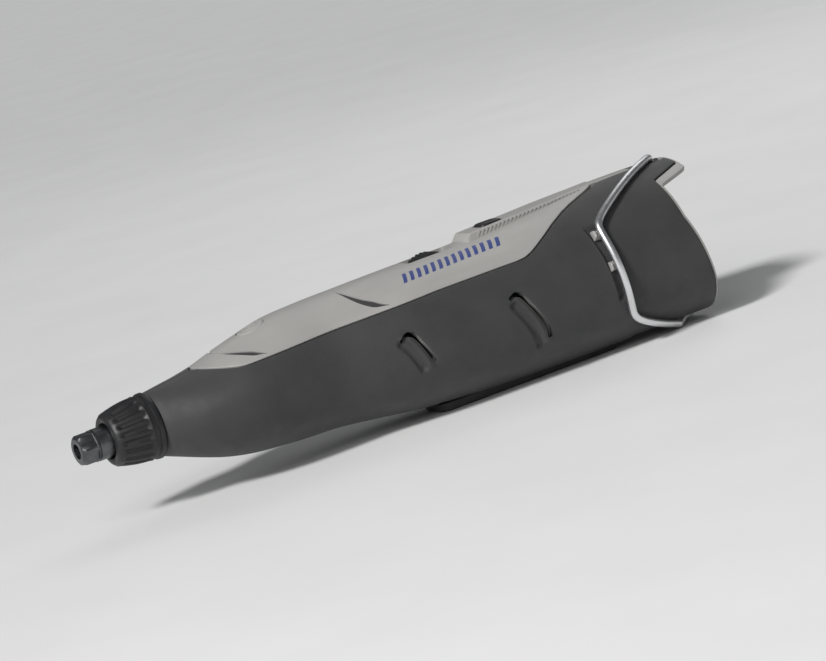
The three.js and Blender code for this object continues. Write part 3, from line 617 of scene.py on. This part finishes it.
def ridge_half(station):
    return np.interp(station, [RIDGE.taper, RIDGE.end], [RIDGE.half, RIDGE.rear_half])


def panel_turn(station, margin):
    """The angle above the side at which the light panel, or its narrow strip, starts."""
    edge = np.interp(station, *np.array(PANEL_EDGE).T, left=99, right=99) - margin
    turn = np.arcsin(np.clip(edge / form_at(station, TOP), -1, 1))
    strip_half = np.interp(station, [RIDGE.end, STRIP.end], [STRIP.half, STRIP.rear_half])
    half = np.where(station < RIDGE.end + 0.3 + margin, ridge_half(station), strip_half) + margin
    strip = np.arccos(half / form_at(station, SIDE))
    in_strip = (station > 150) & (station < STRIP.end + margin)
    return np.where(in_strip, np.minimum(turn, strip), turn)


def rear_edge(height, shift, lift, end_shift):
    """The station of the rear rim, or of an edge in front of it, at each height."""
    rim = np.array(RIM_EDGE)
    stations, heights = rim[:, 0] - shift, rim[:, 1].copy()
    heights[0] += lift
    below = np.interp(height, heights[::-1], stations[::-1])
    share = (height - heights[0]) / (TONGUE_SIDE - rim[0, 1])
    beside = stations[0] + share * (TONGUE_END - rim[0, 0])
    tongue = np.minimum(beside, TONGUE_END - end_shift)
    return np.where(height > heights[0], tongue, below)


def lines(*spans):
    """Grid lines through spans of (end, spacing), from the first span's start."""
    at = [spans[0]]
    for end, spacing in spans[1:]:
        count = max(1, round((end - at[-1]) / spacing))
        start = at[-1]
        at += [start + (end - start) * (k + 1) / count for k in range(count)]
    return np.array(at, float)


def lip_depth(distance, radius=0.4):
    inside = np.clip(1 - distance / radius, 0, 1)
    return radius * (1 - np.sqrt(1 - inside * inside))


def across(low, high, mean_radius, count):
    """Angles from low to high on each row, closer beside both ends, and their distances from the ends."""
    length = (high - low) * mean_radius
    lip = np.minimum(LIP[None, :], length[:, None] * 0.12)
    fraction = np.linspace(0, 1, count)[None, :]
    inner = lip[:, -1:] + (length[:, None] - 2 * lip[:, -1:]) * fraction
    arc = np.concatenate([lip[:, :-1], inner, length[:, None] - lip[:, -2::-1]], axis=1)
    turn = low[:, None] + arc / mean_radius[:, None]
    return turn, arc, length[:, None] - arc


def body_grid(stations, margins, count, top_margin, belly_half, band=None):
    """Stations, angles and distances from the edges for a half shell.

    margins place its rear edge, and band places a line in front of it which a row of points follows.
    """
    far = np.full(FAR_ROWS + len(LIP) - 1, float(TONGUE_END))
    far[:FAR_ROWS] = LAST_COMMON + (np.arange(FAR_ROWS) + 1) / FAR_ROWS * (TONGUE_END - LAST_COMMON)
    guide = np.concatenate([stations, far])
    radius = form_at(guide, SIDE)
    seam = np.arccos(SEAM / radius)
    high = np.minimum(panel_turn(guide, top_margin), seam) if top_margin is not None else seam
    low = -np.where(guide > BELLY_FLAT.start, np.arccos(belly_half / radius), seam)
    turn, from_low, from_high = across(low, high, radius, count)
    height = body_height(guide[:, None], turn)
    first = len(stations)
    last = first + FAR_ROWS
    if not band:
        height[first:last] = height[last]  # keeps each column on one side of the tongue's corner
    edge = rear_edge(height, *margins)
    station = np.repeat(guide[:, None], turn.shape[1], axis=1)
    share = (np.arange(FAR_ROWS)[:, None] + 1) / FAR_ROWS
    station[first:last] = LAST_COMMON + (edge[first:last] - LIP[-1] - LAST_COMMON) * share
    if band:
        step = rear_edge(height, *band)
        before, after = slice(first, last - BAND_ROWS), slice(last - BAND_ROWS, last)
        share = share[:-BAND_ROWS] / share[-BAND_ROWS - 1]
        station[before] = LAST_COMMON + (step[before] - 0.05 - LAST_COMMON) * share
        share = np.arange(BAND_ROWS)[:, None] / (BAND_ROWS - 1)
        station[after] = step[after] + (edge[after] - LIP[-1] - step[after]) * share
    from_rear = np.full_like(station, 9.0)
    from_rear[last - 1] = LIP[-1]
    for k, back in enumerate(LIP[-2::-1]):
        station[last + k] = edge[last + k] - back
        from_rear[last + k] = back
    return station, turn, from_low, from_high, from_rear


def flatten_belly(points, height):
    """Keeps the rear of the belly above a flat."""
    start = BELLY_FLAT.start
    floor = np.interp(points[..., 0], [start - 0.3, start], [-99, height])
    points[..., 2] = np.maximum(points[..., 2], floor)
    return points


# -------- grip


def vent_relief(station, height):
    """How far the skin sinks round the vents."""
    relief = np.zeros_like(station)
    for points in VENTS:
        path = curve_through(points, 6)
        for layer in VENT_LAYERS:
            away = away_from(path[layer["from"] :] + np.array(layer["shift"]), station, height)
            relief += layer["depth"] * np.exp(-(away / layer["half"]) ** layer["power"])
    return relief


def recess_relief(station, turn):
    """How far the skin sinks beside the bail's stowed leg."""
    degrees = np.degrees(turn)
    start = BAIL.front - BAIL.leg_slope * degrees - RECESS.ahead
    along = smooth(station, start, start + 0.4)
    along = along * (1 - smooth(station, RECESS.end - 2.5, RECESS.end))
    up = smooth(degrees, RECESS.low, RECESS.low + 3)
    up = up * (1 - smooth(degrees, RECESS.high - 4.5, RECESS.high))
    return RECESS.depth * along * up


def vent_slots(side):
    slots = [ribbon(curve_through(points, 6), VENT_HALF) for points in VENTS]
    return [prism(slot, 14 * side, OUTSIDE * side) for slot in slots]


def screw_holes(radius):
    """Holes for the screws' heads, from the right."""
    start = SCREW_HEAD.hole_from
    return [drill(radius, start, OUTSIDE, (station, 0, height), "y") for _, station, height in SCREWS]


def grip(side):
    """The rubber half shell, with its vents, the bail's recess and a window for the belly pad."""
    stations = lines(0, (70, 1.1), (93, 0.45), (109, 1.1), (133, 0.45), (149, 1.0), (155, 0.15), (159, 0.4),
                     (163.6, 1.0), (164.2, 0.15), (LAST_COMMON, 1.0))
    rim_margins = (RIM_BAND, 1.82, 0.6)
    station, turn, from_low, from_high, from_rear = body_grid(stations, rim_margins, 124, GAP, 5.8)
    depth = lip_depth(np.minimum(from_high, from_rear)) + lip_depth(from_low, 0.2) + lip_depth(station, 0.6)
    depth = depth + vent_relief(station, body_height(station, turn)) + recess_relief(station, turn)
    outer = flatten_belly(skin(station, turn, depth, side), BELLY_FLAT.height - 0.2)
    inner = skin(station, turn, GRIP_THICKNESS, side)
    start, end, half = PAD.start - GAP, PAD.end + GAP, PAD.half + GAP
    tools = vent_slots(side)
    tools.append(prism([(start, -half), (start, half), (end, half), (end, -half)], -OUTSIDE, -20, axis="z"))
    if side > 0:
        tools += screw_holes(3.4)
    tools.append(drill(4.2, 20, OUTSIDE, (BAIL.pivot, 0, 0), "z"))
    piece("grip_" + SIDE_NAME[side], [shell(outer, inner)], "casing", "grip_rubber", cutters=[tools])


# -------- housing


def housing(side):
    """The light housing half: hidden under the grip, and bare at the rear rim and the tongue's edge."""
    stations = lines(0, (40, 1.6), (LAST_COMMON, 3.0))
    band = (RIM_BAND - GAP, 1.5, 0.5)
    station, turn, _, _, from_rear = body_grid(stations, (0, 0, 0), 110, None, SEAM, band)
    height = body_height(station, turn)
    bare = station > rear_edge(height, *band) - 0.03
    depth = np.where(bare, 0.12 + lip_depth(from_rear, 0.3), HOUSING_OUTSIDE)
    outer = flatten_belly(skin(station, turn, depth, side), BELLY_FLAT.height)
    from_rim = rear_edge(height, 0, 0, 0) - station
    mouth = MOUTH.chamfer * (1 - smooth(from_rim, 0, MOUTH.reach)) * (station > SOCKET.rear - 0.5)
    inner = skin(station, turn, HOUSING_INSIDE - mouth, side)
    pivot = (BAIL.pivot, 0, 0)
    tools = [*vent_slots(side), drill(3.7, 20, OUTSIDE, pivot, "z"), drill(3.3, -30, -20, pivot, "z")]
    tools += spine_openings(0.6)
    if side > 0:
        tools += screw_holes(3)
    piece("housing_" + SIDE_NAME[side], [shell(outer, inner)], "casing", "light_plastic", cutters=[tools])


def spine_openings(margin):
    """Openings for the lock button, the dial and the power button."""
    reach = DIAL.radius - 0.4
    half = DIAL.half + margin
    length, width = POWER.length / 2 + margin, POWER.width / 2 + margin
    return [
        drill(LOCK.radius + margin / 2, 8, OUTSIDE, (LOCK.station, 0, 0), "z", 64),
        prism(rounded_rectangle(DIAL.station, reach, half, 1.2), 10, OUTSIDE, axis="z"),
        prism(rounded_rectangle(POWER.station, length, width, 1.4), 12, OUTSIDE, axis="z"),
    ]


# -------- spine panel


def ridge_height(station):
    return np.interp(station, [RIDGE.step, RIDGE.end], [RIDGE.front_height, RIDGE.rear_height])


def along_groove(groove, top, bottom, narrower=0.0):
    """A closed body that runs along a groove's path, between two depths below the skin."""
    away = groove["path"]
    path = curve_through([(station, -offset) for station, offset in away[:0:-1]] + away, 6)
    heading = np.gradient(path, axis=0)
    heading /= np.hypot(*heading.T)[:, None]
    reach = away[-1][1]
    offset = np.abs(path[:, 1])
    half = groove["half"] * (0.15 + 0.85 * smooth(offset, 0.5, 0.8 * reach))
    half = half * (1 - 0.9 * smooth(offset, 0.86 * reach, reach)) - narrower
    across_path = np.stack([-heading[:, 1], heading[:, 0]], axis=-1)
    plan = np.stack([path + across_path * (half * k)[:, None] for k in (-1, -0.5, 0, 0.5, 1)], axis=1)
    turn = np.arccos(np.clip(np.abs(plan[..., 1]) / form_at(plan[..., 0], SIDE), -1, 1))
    side = np.where(plan[..., 1] < 0, -1, 1)
    return shell(skin(plan[..., 0], turn, top, side), skin(plan[..., 0], turn, bottom, side))


def groove_shade_inlays():
    """Painted shade: a strip of dark rubber at the bottom of each of the panel's grooves, which keeps the
    grooves dark however the lamps light them.
    """
    parts = [along_groove(groove, SHADE_INLAY_DEPTH, GROOVE_DEPTH - 0.03, 0.03) for groove in GROOVES]
    piece("groove_shade_inlays", parts, "casing", "grip_rubber", replaced=[])


def panel_grid():
    stations = lines(17.75, (18.6, 0.12), (23, 0.5), (38, 0.4), (64, 1.2), (84, 0.45), (116.2, 1.2),
                     (119.6, 0.3), (160, 1.0), (167.4, 0.8), (168.8, 0.15), (STRIP.end - 0.4, 1.5))
    stations = np.concatenate([stations, STRIP.end - LIP[-2::-1]])
    side_radius = form_at(stations, SIDE)
    low = panel_turn(stations, 0)
    half = side_radius * np.cos(low)
    middle_half = np.minimum(ridge_half(stations), 0.75 * half)
    middle_turn = np.arccos(np.minimum(middle_half + np.minimum(0.35, half * 0.05), half) / side_radius)
    turn, from_low, _ = across(low, middle_turn, side_radius, 44)
    off = side_radius[:, None] * np.cos(turn)
    inner = np.linspace(1, -1, 41)[None, :] * middle_half[:, None]
    offset = np.concatenate([off, inner, -off[:, ::-1]], axis=1)
    from_edge = np.concatenate([from_low, np.full_like(inner, 9), from_low[:, ::-1]], axis=1)
    station = np.repeat(stations[:, None], offset.shape[1], axis=1)
    from_end = np.minimum(station - stations[0], stations[-1] - station)
    return station, offset, from_edge, from_end


def spine_panel():
    """The light panel with its ridge, its rear strip, its openings and its grooves."""
    station, offset, from_edge, from_end = panel_grid()
    turn = np.arccos(np.clip(np.abs(offset) / form_at(station, SIDE), 0, 1))
    side = np.where(offset < 0, -1, 1)
    depth = lip_depth(np.minimum(from_edge, from_end), 0.35)
    outer = skin(station, turn, depth, side)
    inner = skin(station, turn, GRIP_THICKNESS, side)
    rise = smooth(station, RIDGE.start, RIDGE.step) * (station < RIDGE.end + 0.1)
    half = ridge_half(station)
    top = ridge_height(station) - RIDGE.shoulder * smooth(np.abs(offset), half - 0.5, half + 0.02)
    on_ridge = (np.abs(offset) <= half + 0.01) & (rise > 0)
    lifted = outer[..., 2] + rise * np.maximum(top - outer[..., 2], 0)
    outer[..., 2] = np.where(on_ridge, lifted, outer[..., 2])
    cutters = [spine_openings(0.45), [along_groove(groove, -1, GROOVE_DEPTH) for groove in GROOVES]]
    piece("spine_panel", [shell(outer, inner), *ridge_hatch()], "casing", "light_plastic", cutters=cutters)


def ridge_hatch():
    """Fine slanted ribs on both side walls of the ridge."""
    parts = []
    width = HATCH.width
    for side in (-1, 1):
        for k in range(HATCH.count):
            start = HATCH.start + HATCH.pitch * k
            half = float(ridge_half(start + 1))
            foot = form_at(start, TOP) * math.sqrt(1 - (half / form_at(start, SIDE)) ** 2) - HATCH.sunk
            top = ridge_height(start + 1.4) - RIDGE.shoulder
            if top - foot < 0.35:
                continue
            tip = start + HATCH.lean
            outline = [(start, foot), (start + width, foot), (tip + width, top), (tip, top)]
            parts.append(prism(outline, side * (half - HATCH.sunk), side * (half + HATCH.proud)))
    return parts


def accent_bars(side):
    """A plain row of slanted coloured bars, printed on the panel."""
    parts = []
    for k in range(BARS.count):
        share = (k + np.array([0.0, BARS.width])) / (BARS.count - 1 + BARS.width)
        along, up = np.meshgrid(np.linspace(*share, 8), np.linspace(0.05, 0.95, 8), indexing="ij")
        station = BARS.start + BARS.length * along + BARS.lean * up
        height = BARS.foot + BARS.climb * along + BARS.height * up
        turn = np.arcsin(height / form_at(station, TOP))
        parts.append(shell(skin(station, turn, -0.05, side), skin(station, turn, 0.5, side)))
    word = SIDE_NAME[side]
    piece("accent_bars_" + word, parts, "casing", "blue_plastic", replaced=["accent_stripe_" + word])


# -------- bail and its catches


def bail_point(degrees):
    """A point of the bail's wrapped wire at an angle above the side, on the left of the tool."""
    angle = math.radians(degrees)
    past_bend = abs(degrees) - BAIL.leg_turn
    beyond = (past_bend + math.hypot(past_bend, BAIL.bend)) / 2
    slope = (BAIL.pivot - 2.2 - BAIL.front) / (BAIL.top_turn - BAIL.leg_turn)
    leg = BAIL.front - BAIL.leg_slope * max(-BAIL.leg_turn, min(BAIL.leg_turn, degrees))
    height = max(BAIL.reach * math.sin(angle), -BAIL.belly)
    return [leg + slope * beyond, -BAIL.reach * math.cos(angle), height]


def hanger_bail():
    """The wire loop, from its upper end in the tongue, round the left side, to its lower end."""
    pivot, belly = BAIL.pivot, BAIL.belly
    points = [[pivot, 0, 22.6], [pivot, 0, 24.6], [pivot - 0.2, -0.15, 26.2], [pivot - 1.5, -1.4, 27.4]]
    points += [bail_point(degrees) for degrees in range(78, -67, -3)]
    points += [[pivot - 4.2, -3.2, -belly], [pivot - 0.6, -0.7, 0.2 - belly], [pivot, 0, 1.9 - belly],
               [pivot, 0, -21.2]]
    piece("hanger_bail", [tube(curve_through(points, 4), BAIL.wire, 20)], "hanger", "bail_chrome")


def hanger_catch(side):
    """Two small cradles under the stowed wire, each with an upstand in front of it."""
    parts = []
    steps = 11
    for low, high in ((1.5, 8.5), (26.5, 33.5)):
        rings = []
        wire = bail_point((low + high) / 2)[0]
        for k, turn in enumerate(np.radians(np.linspace(low, high, steps + 1))):
            ease = math.sin(min(1, min(k, steps - k) / 4 + 0.3) * QUARTER)
            bottom = LATCH.bottom
            seat, top = [bottom + (height - bottom) * ease for height in (LATCH.seat, LATCH.top)]
            front, step, rear = wire - LATCH.front, wire - LATCH.step, wire + LATCH.rear
            corners = [(front, bottom), (rear, bottom), (rear, seat), (step, seat), (step, top),
                       (front, top)]
            ring = []
            for station, radius in rounded(corners, 0.3):
                ring.append([station, side * radius * math.cos(turn), radius * math.sin(turn)])
            rings.append(np.array(ring))
        parts.append(ringed(rings))
    piece("hanger_catch_" + SIDE_NAME[side], parts, "casing", "light_plastic")


def hanger_bushes():
    """The flanged bushes in which the bail's ends turn."""
    upper = rounded([(20.4, 1.6), (20.4, 4.2), (21.6, 4.2), (21.6, 3.4), (25.6, 3.4), (25.6, 1.6)], 0.25)
    lower = rounded([(-23.7, 1.6), (-23.7, 3), (-22, 3), (-22, 4.2), (-20.6, 4.2), (-20.6, 1.6)], 0.25)
    for name, profile in (("hanger_bush_upper", upper), ("hanger_bush_lower", lower)):
        piece(name, [turned(profile, (BAIL.pivot, 0, 0), "z", 48)], "casing", "dark_steel")


# -------- nose


def nose_cap():
    """The fluted nose cap, with a plain collar at the rear and a chamfered mouth."""
    def flutes(along, radius, angle):
        zone = smooth(along, -14.2, -12.6) * (1 - smooth(along, -5.2, -4.2)) * (radius > 7)
        wave = np.clip(np.cos(angle * 20) * 1.6, -1, 1)
        return radius - zone * (0.35 - 0.35 * wave)

    outside = [(-15.5, 7.2), (-15.2, 7.7), (-14.4, 8.4)]
    outside += [(s, 8.4 + 1.7 * math.sin((s + 14.4) / 10.2 * QUARTER)) for s in np.linspace(-13.6, -4.2, 20)]
    outside += [(-3.9, 10.2), (-3.7, 9.8), (-2.2, 9.8), (-1.9, 10.4), (-0.8, 10.5), (-0.5, 10.3)]
    inside = [(-0.5, 8.3), (-12.6, 8.3), (-12.6, 5.6), (-15.3, 5.6), (-15.5, 5.8)]
    cap = turned(outside + inside, segments=240, shape=flutes)
    piece("nose_cap", [cap], "nose_cap", "black_plastic", 50)


def collet_nut():
    """Six flats at the front, a round skirt behind them, and a chamfered mouth."""
    def flats(along, radius, angle):
        wedge = np.mod(angle, HALF_TURN / 3) - HALF_TURN / 6
        hexagon = 5.15 * math.cos(HALF_TURN / 6) / np.cos(wedge)
        zone = (along < -20.4) & (radius > 4.4)
        return np.where(zone, np.minimum(radius, hexagon), radius)

    profile = [(-25.5, 2.4), (-25.5, 3.9), (-25.2, 4.4), (-24.4, 5.0), (-20.9, 5.0), (-20.42, 5.0),
               (-20.3, 5.0), (-20.1, 4.6), (-19.7, 4.6), (-19.5, 5.0), (-15.2, 5.0), (-14.8, 4.6),
               (-14.8, 4.0), (-21.4, 4.0), (-23.4, 2.4)]
    piece("collet_nut", [turned(profile, segments=144, shape=flats)], "collet_nut", "dark_steel", 30)


def nose_sleeve():
    profile = rounded([(-10.5, 4.8), (-10.5, 8.0), (-0.2, 8.0), (-0.2, 5.9), (9.8, 5.9), (9.8, 7.1),
                       (12, 7.1), (12, 4.8)], 0.3)
    piece("nose_sleeve", [turned(profile)], "casing", "sleeve_aluminium")


def spindle():
    profile = rounded([(-15, 2.9), (-15, 3.7), (14, 3.7), (14, 3), (91.8, 3), (91.8, 1.5), (97.4, 1.5),
                       (97.4, 0), (6, 0), (6, 1.7), (-4, 1.7), (-4, 2.9)], 0.25)
    piece("spindle", [turned(profile)], "spindle", "bright_steel")


# -------- controls


def lock_button():
    """A low round button whose top follows the panel, with fine rings on it."""
    radius = LOCK.radius
    angle = full_circle(72)

    def level(size, rise=None, height=None):
        station, across_axis = LOCK.station + size * np.cos(angle), size * np.sin(angle)
        skin_height = form_at(station, TOP) * np.sqrt(1 - (across_axis / form_at(station, SIDE)) ** 2)
        z = skin_height + rise if height is None else np.full_like(angle, height)
        return np.stack([station, across_axis, z], axis=-1)

    flange, flange_top = LOCK.flange, LOCK.flange_top
    rings = [level(flange, height=LOCK.bottom), level(flange, height=flange_top),
             level(radius, height=flange_top), level(radius, -0.5), level(radius - 0.12, -0.15),
             level(radius - 0.4, 0)]
    for k in range(20):
        size = (radius - 0.8) * (1 - k / 20)
        rings.append(level(size, 0.08 + 0.1 * math.cos(k / 20 * 4 * HALF_TURN) * (k > 1)))
    inner, outer, roof = LOCK_POCKET.inner, LOCK_POCKET.outer, LOCK_POCKET.roof
    pocket = [(10, inner), (10, outer), (roof, outer), (roof, inner)]
    cutters = [[turned(pocket, (LOCK.station, 0, 0), "z", 48)]]
    piece("lock_button", [ringed(rings)], "lock_button", "light_plastic", cutters=cutters)


def speed_dial():
    """A ribbed thumbwheel on its axle."""
    height = float(form_at(DIAL.station, TOP)) + 0.6 - DIAL.radius

    def ribs(along, radius, angle):
        zone = (radius > 8.2) & (np.abs(along) < DIAL.half - 0.25)
        return radius - zone * 0.28 * (1 - np.clip(1.7 * np.cos(angle * 36), -1, 1))

    half, radius = DIAL.half, DIAL.radius
    profile = [(-5.5, 0), (-5.5, 1.4), (-5.3, 1.5), (-half, 1.5), (-half, 7.0), (-half + 0.5, 7.3),
               (-half + 0.5, 7.9), (-half, 8.1), (-half, 8.5), (-half + 0.3, radius - 0.1),
               (-half + 0.6, radius), (half - 0.6, radius), (half - 0.3, radius - 0.1), (half, 8.5),
               (half, 1.5), (8.4, 1.5), (8.6, 1.4), (8.6, 0)]
    wheel = turned(profile, (DIAL.station, 0, height), "y", 288, ribs)
    piece("speed_dial", [wheel], "speed_dial", "black_plastic", 30)


def power_button():
    """A pillow-topped rectangular button with a flange below the panel, and a small bar in its top."""
    top = float(ridge_height(POWER.station)) + 0.7
    levels = [(17, 0), (top - 0.9, 0), (top - 0.5, 0.12), (top - 0.22, 0.4), (top - 0.06, 0.9), (top, 1.7)]
    body = stacked(levels, POWER.station, POWER.length / 2, POWER.width / 2,
                   lambda inset: max(1.25 - inset * 0.4, 0.5))
    flange = prism(rounded_rectangle(POWER.station, 5.2, 4.4, 0.8), 17, 18, axis="z")
    mark = prism(rounded_rectangle(POWER.station, 1.3, 0.28, 0.26), top - 0.2, top, axis="z")
    piece("power_button", [body, flange, mark], "power_button", "black_plastic")


# -------- battery well, pad and screws


def ring_at(station, radius, count=144):
    """A ring of points round the tool's axis. The radius may vary by angle."""
    angle = full_circle(count)
    return np.stack([np.full(count, station), radius * np.cos(angle), radius * np.sin(angle)], axis=-1)


def socket_ring(station, depth, count=144):
    angle = full_circle(count)
    return ring_at(station, SOCKET.mean + SOCKET.lobe * np.cos(3 * (angle + QUARTER)) + depth)


def battery_socket():
    """The three-lobed well for the battery's stem, with a rounded mouth in its flange."""
    front, rear, wall = SOCKET.front, SOCKET.rear, SOCKET.wall
    outside = SOCKET.flange_radius
    rings = [socket_ring(front, wall - 0.4), socket_ring(front + 0.4, wall), socket_ring(rear - 1.4, wall),
             ring_at(rear - 1.4, outside - 0.3), ring_at(rear - 1.1, outside), ring_at(rear - 0.3, outside),
             ring_at(rear, outside - 0.3), socket_ring(rear, 0.7), socket_ring(rear - 0.25, 0.25),
             socket_ring(rear - 0.8, 0), socket_ring(front + 2.4, 0), socket_ring(front + 2, -0.4)]
    terminal_hole = block(front - 2, front + 4, 9.3, 6.3, 0.6)
    piece("battery_socket", [ringed(rings)], "casing", "black_plastic", cutters=[[terminal_hole]])


def belly_pad():
    """A soft rounded pad with cross grooves, on which the tool rests."""
    middle = (PAD.start + PAD.end) / 2
    floor = PAD.floor
    levels = [(floor, 0.9), (floor + 0.12, 0.45), (floor + 0.45, 0.12), (floor + 0.9, 0), (-24.4, 0)]
    pad = stacked(levels, middle, (PAD.end - PAD.start) / 2, PAD.half, lambda inset: 3.2 - inset)
    tools = []
    for k in range(14):
        slot = rounded_rectangle(PAD.start + 5 + 4.4 * k, 0.5, 4.6, 0.45)
        tools.append(prism(slot, floor - 1, floor + 0.7, axis="z"))
    piece("belly_pad", [pad], "casing", "grip_rubber", cutters=[tools])


def housing_screw(name, station, height):
    """A pan-head screw with a six-lobed drive."""
    def lobes(along, radius, angle):
        return np.where((radius > 0.5) & (radius < 1.6), radius + 0.2 * np.cos(angle * 6), radius)

    face = SCREW_HEAD.face
    top = face + SCREW_HEAD.height
    radius = SCREW_HEAD.radius
    profile = [(-9, 0), (-8.4, 0.9), (-7.8, 1.1)]
    for k in range(12):
        profile += [(-7.6 + k, 1.1), (-7.25 + k, 1.4), (-6.9 + k, 1.1)]
    profile += [(face, 1.1), (face, radius), (top - 0.9, radius), (top - 0.35, radius - 0.35),
                (top - 0.05, 1.9), (top, 1.45), (top - 1.2, 1.3), (top - 1.4, 0)]
    piece(name, [turned(profile, (station, 0, height), "y", 72, lobes)], "casing", "dark_steel")


# -------- CAD pieces that stay


def dress_cad_nodes():
    """Gives each CAD piece that stays its procedural material, a small edge rounding and smooth shading."""
    for entry in frame["record"]["subparts"]:
        node = frame["nodes"][entry["node"]]
        if node.hide_render:
            continue
        node.data.materials.clear()
        node.data.materials.append(MATERIALS[entry["material_slot"]])
        bevel = node.modifiers.new("edges", "BEVEL")
        bevel.width = 0.12 * MM
        bevel.segments = 2
        bevel.limit_method = "ANGLE"
        bevel.angle_limit = math.radians(40)
        shade(node.data, 32)


# -------- stage, lights and camera

CAMERA = Sizes(azimuth=-26.1, elevation=9.2, distance=1.08, roll=15.4, lens=150)
AIM = Vector((0.0075, 0, 0.027))


def aim(made, direction, distance, roll=0.0):
    """Puts an object at a distance from the tool, facing it."""
    made.location = AIM + direction * distance
    made.rotation_mode = "QUATERNION"
    made.rotation_quaternion = (-direction).to_track_quat("-Z", "Y") @ Quaternion((0, 0, 1), -roll)


def make_camera():
    azimuth, elevation = math.radians(CAMERA.azimuth), math.radians(CAMERA.elevation)
    back = Vector((math.sin(azimuth) * math.cos(elevation), -math.cos(azimuth) * math.cos(elevation),
                   math.sin(elevation)))
    camera = add_object("camera", bpy.data.cameras.new("camera"))
    camera.data.lens = CAMERA.lens
    camera.data.clip_end = 100
    aim(camera, back, CAMERA.distance, math.radians(CAMERA.roll))
    bpy.context.scene.camera = camera


def make_floor():
    reach = 30
    mesh = bpy.data.meshes.new("floor")
    corners = [(-reach, -reach, 0), (reach, -reach, 0), (reach, reach, 0), (-reach, reach, 0)]
    mesh.from_pydata(corners, [], [(0, 1, 2, 3)])
    r = Recipe("pale_floor", 0.75, specular=0.2)
    r.colour(r.noise(60, 4), (0.76, 0.76, 0.755), (0.79, 0.79, 0.785))
    mesh.materials.append(r.material)
    add_object("floor", mesh)


def lamp(name, kind, energy, towards, distance=1.0, **settings):
    """A lamp whose light comes from the given direction."""
    data = bpy.data.lights.new(name, kind)
    data.energy = energy
    for key, value in settings.items():
        setattr(data, key, value)
    aim(add_object(name, data), Vector(towards).normalized(), distance)


def make_lights():
    lamp("key", "SUN", 2.8, (-0.85, -0.45, 0.75), angle=math.radians(10))
    lamp("softbox", "AREA", 2.0, (-0.9, -0.9, 0.8), 0.8, size=0.45)
    lamp("rim", "AREA", 1.2, (0.8, 0.6, 0.9), 1.0, size=0.6)
    world = bpy.data.worlds.new("studio")
    world.use_nodes = True
    background = world.node_tree.nodes["Background"]
    background.inputs["Color"].default_value = (0.9, 0.92, 0.95, 1)
    background.inputs["Strength"].default_value = 0.13
    bpy.context.scene.world = world
    bpy.context.scene.view_settings.view_transform = "Standard"


make_camera()
make_floor()
make_lights()

for half_side in (-1, 1):
    grip(half_side)
    housing(half_side)
    accent_bars(half_side)
    hanger_catch(half_side)
spine_panel()
# dark strips of painted shade in the panel's grooves
groove_shade_inlays()
hanger_bail()
hanger_bushes()
nose_cap()
collet_nut()
nose_sleeve()
spindle()
lock_button()
speed_dial()
power_button()
battery_socket()
belly_pad()
for screw_name, at_station, at_height in SCREWS:
    housing_screw(screw_name, at_station, at_height)
dress_cad_nodes()
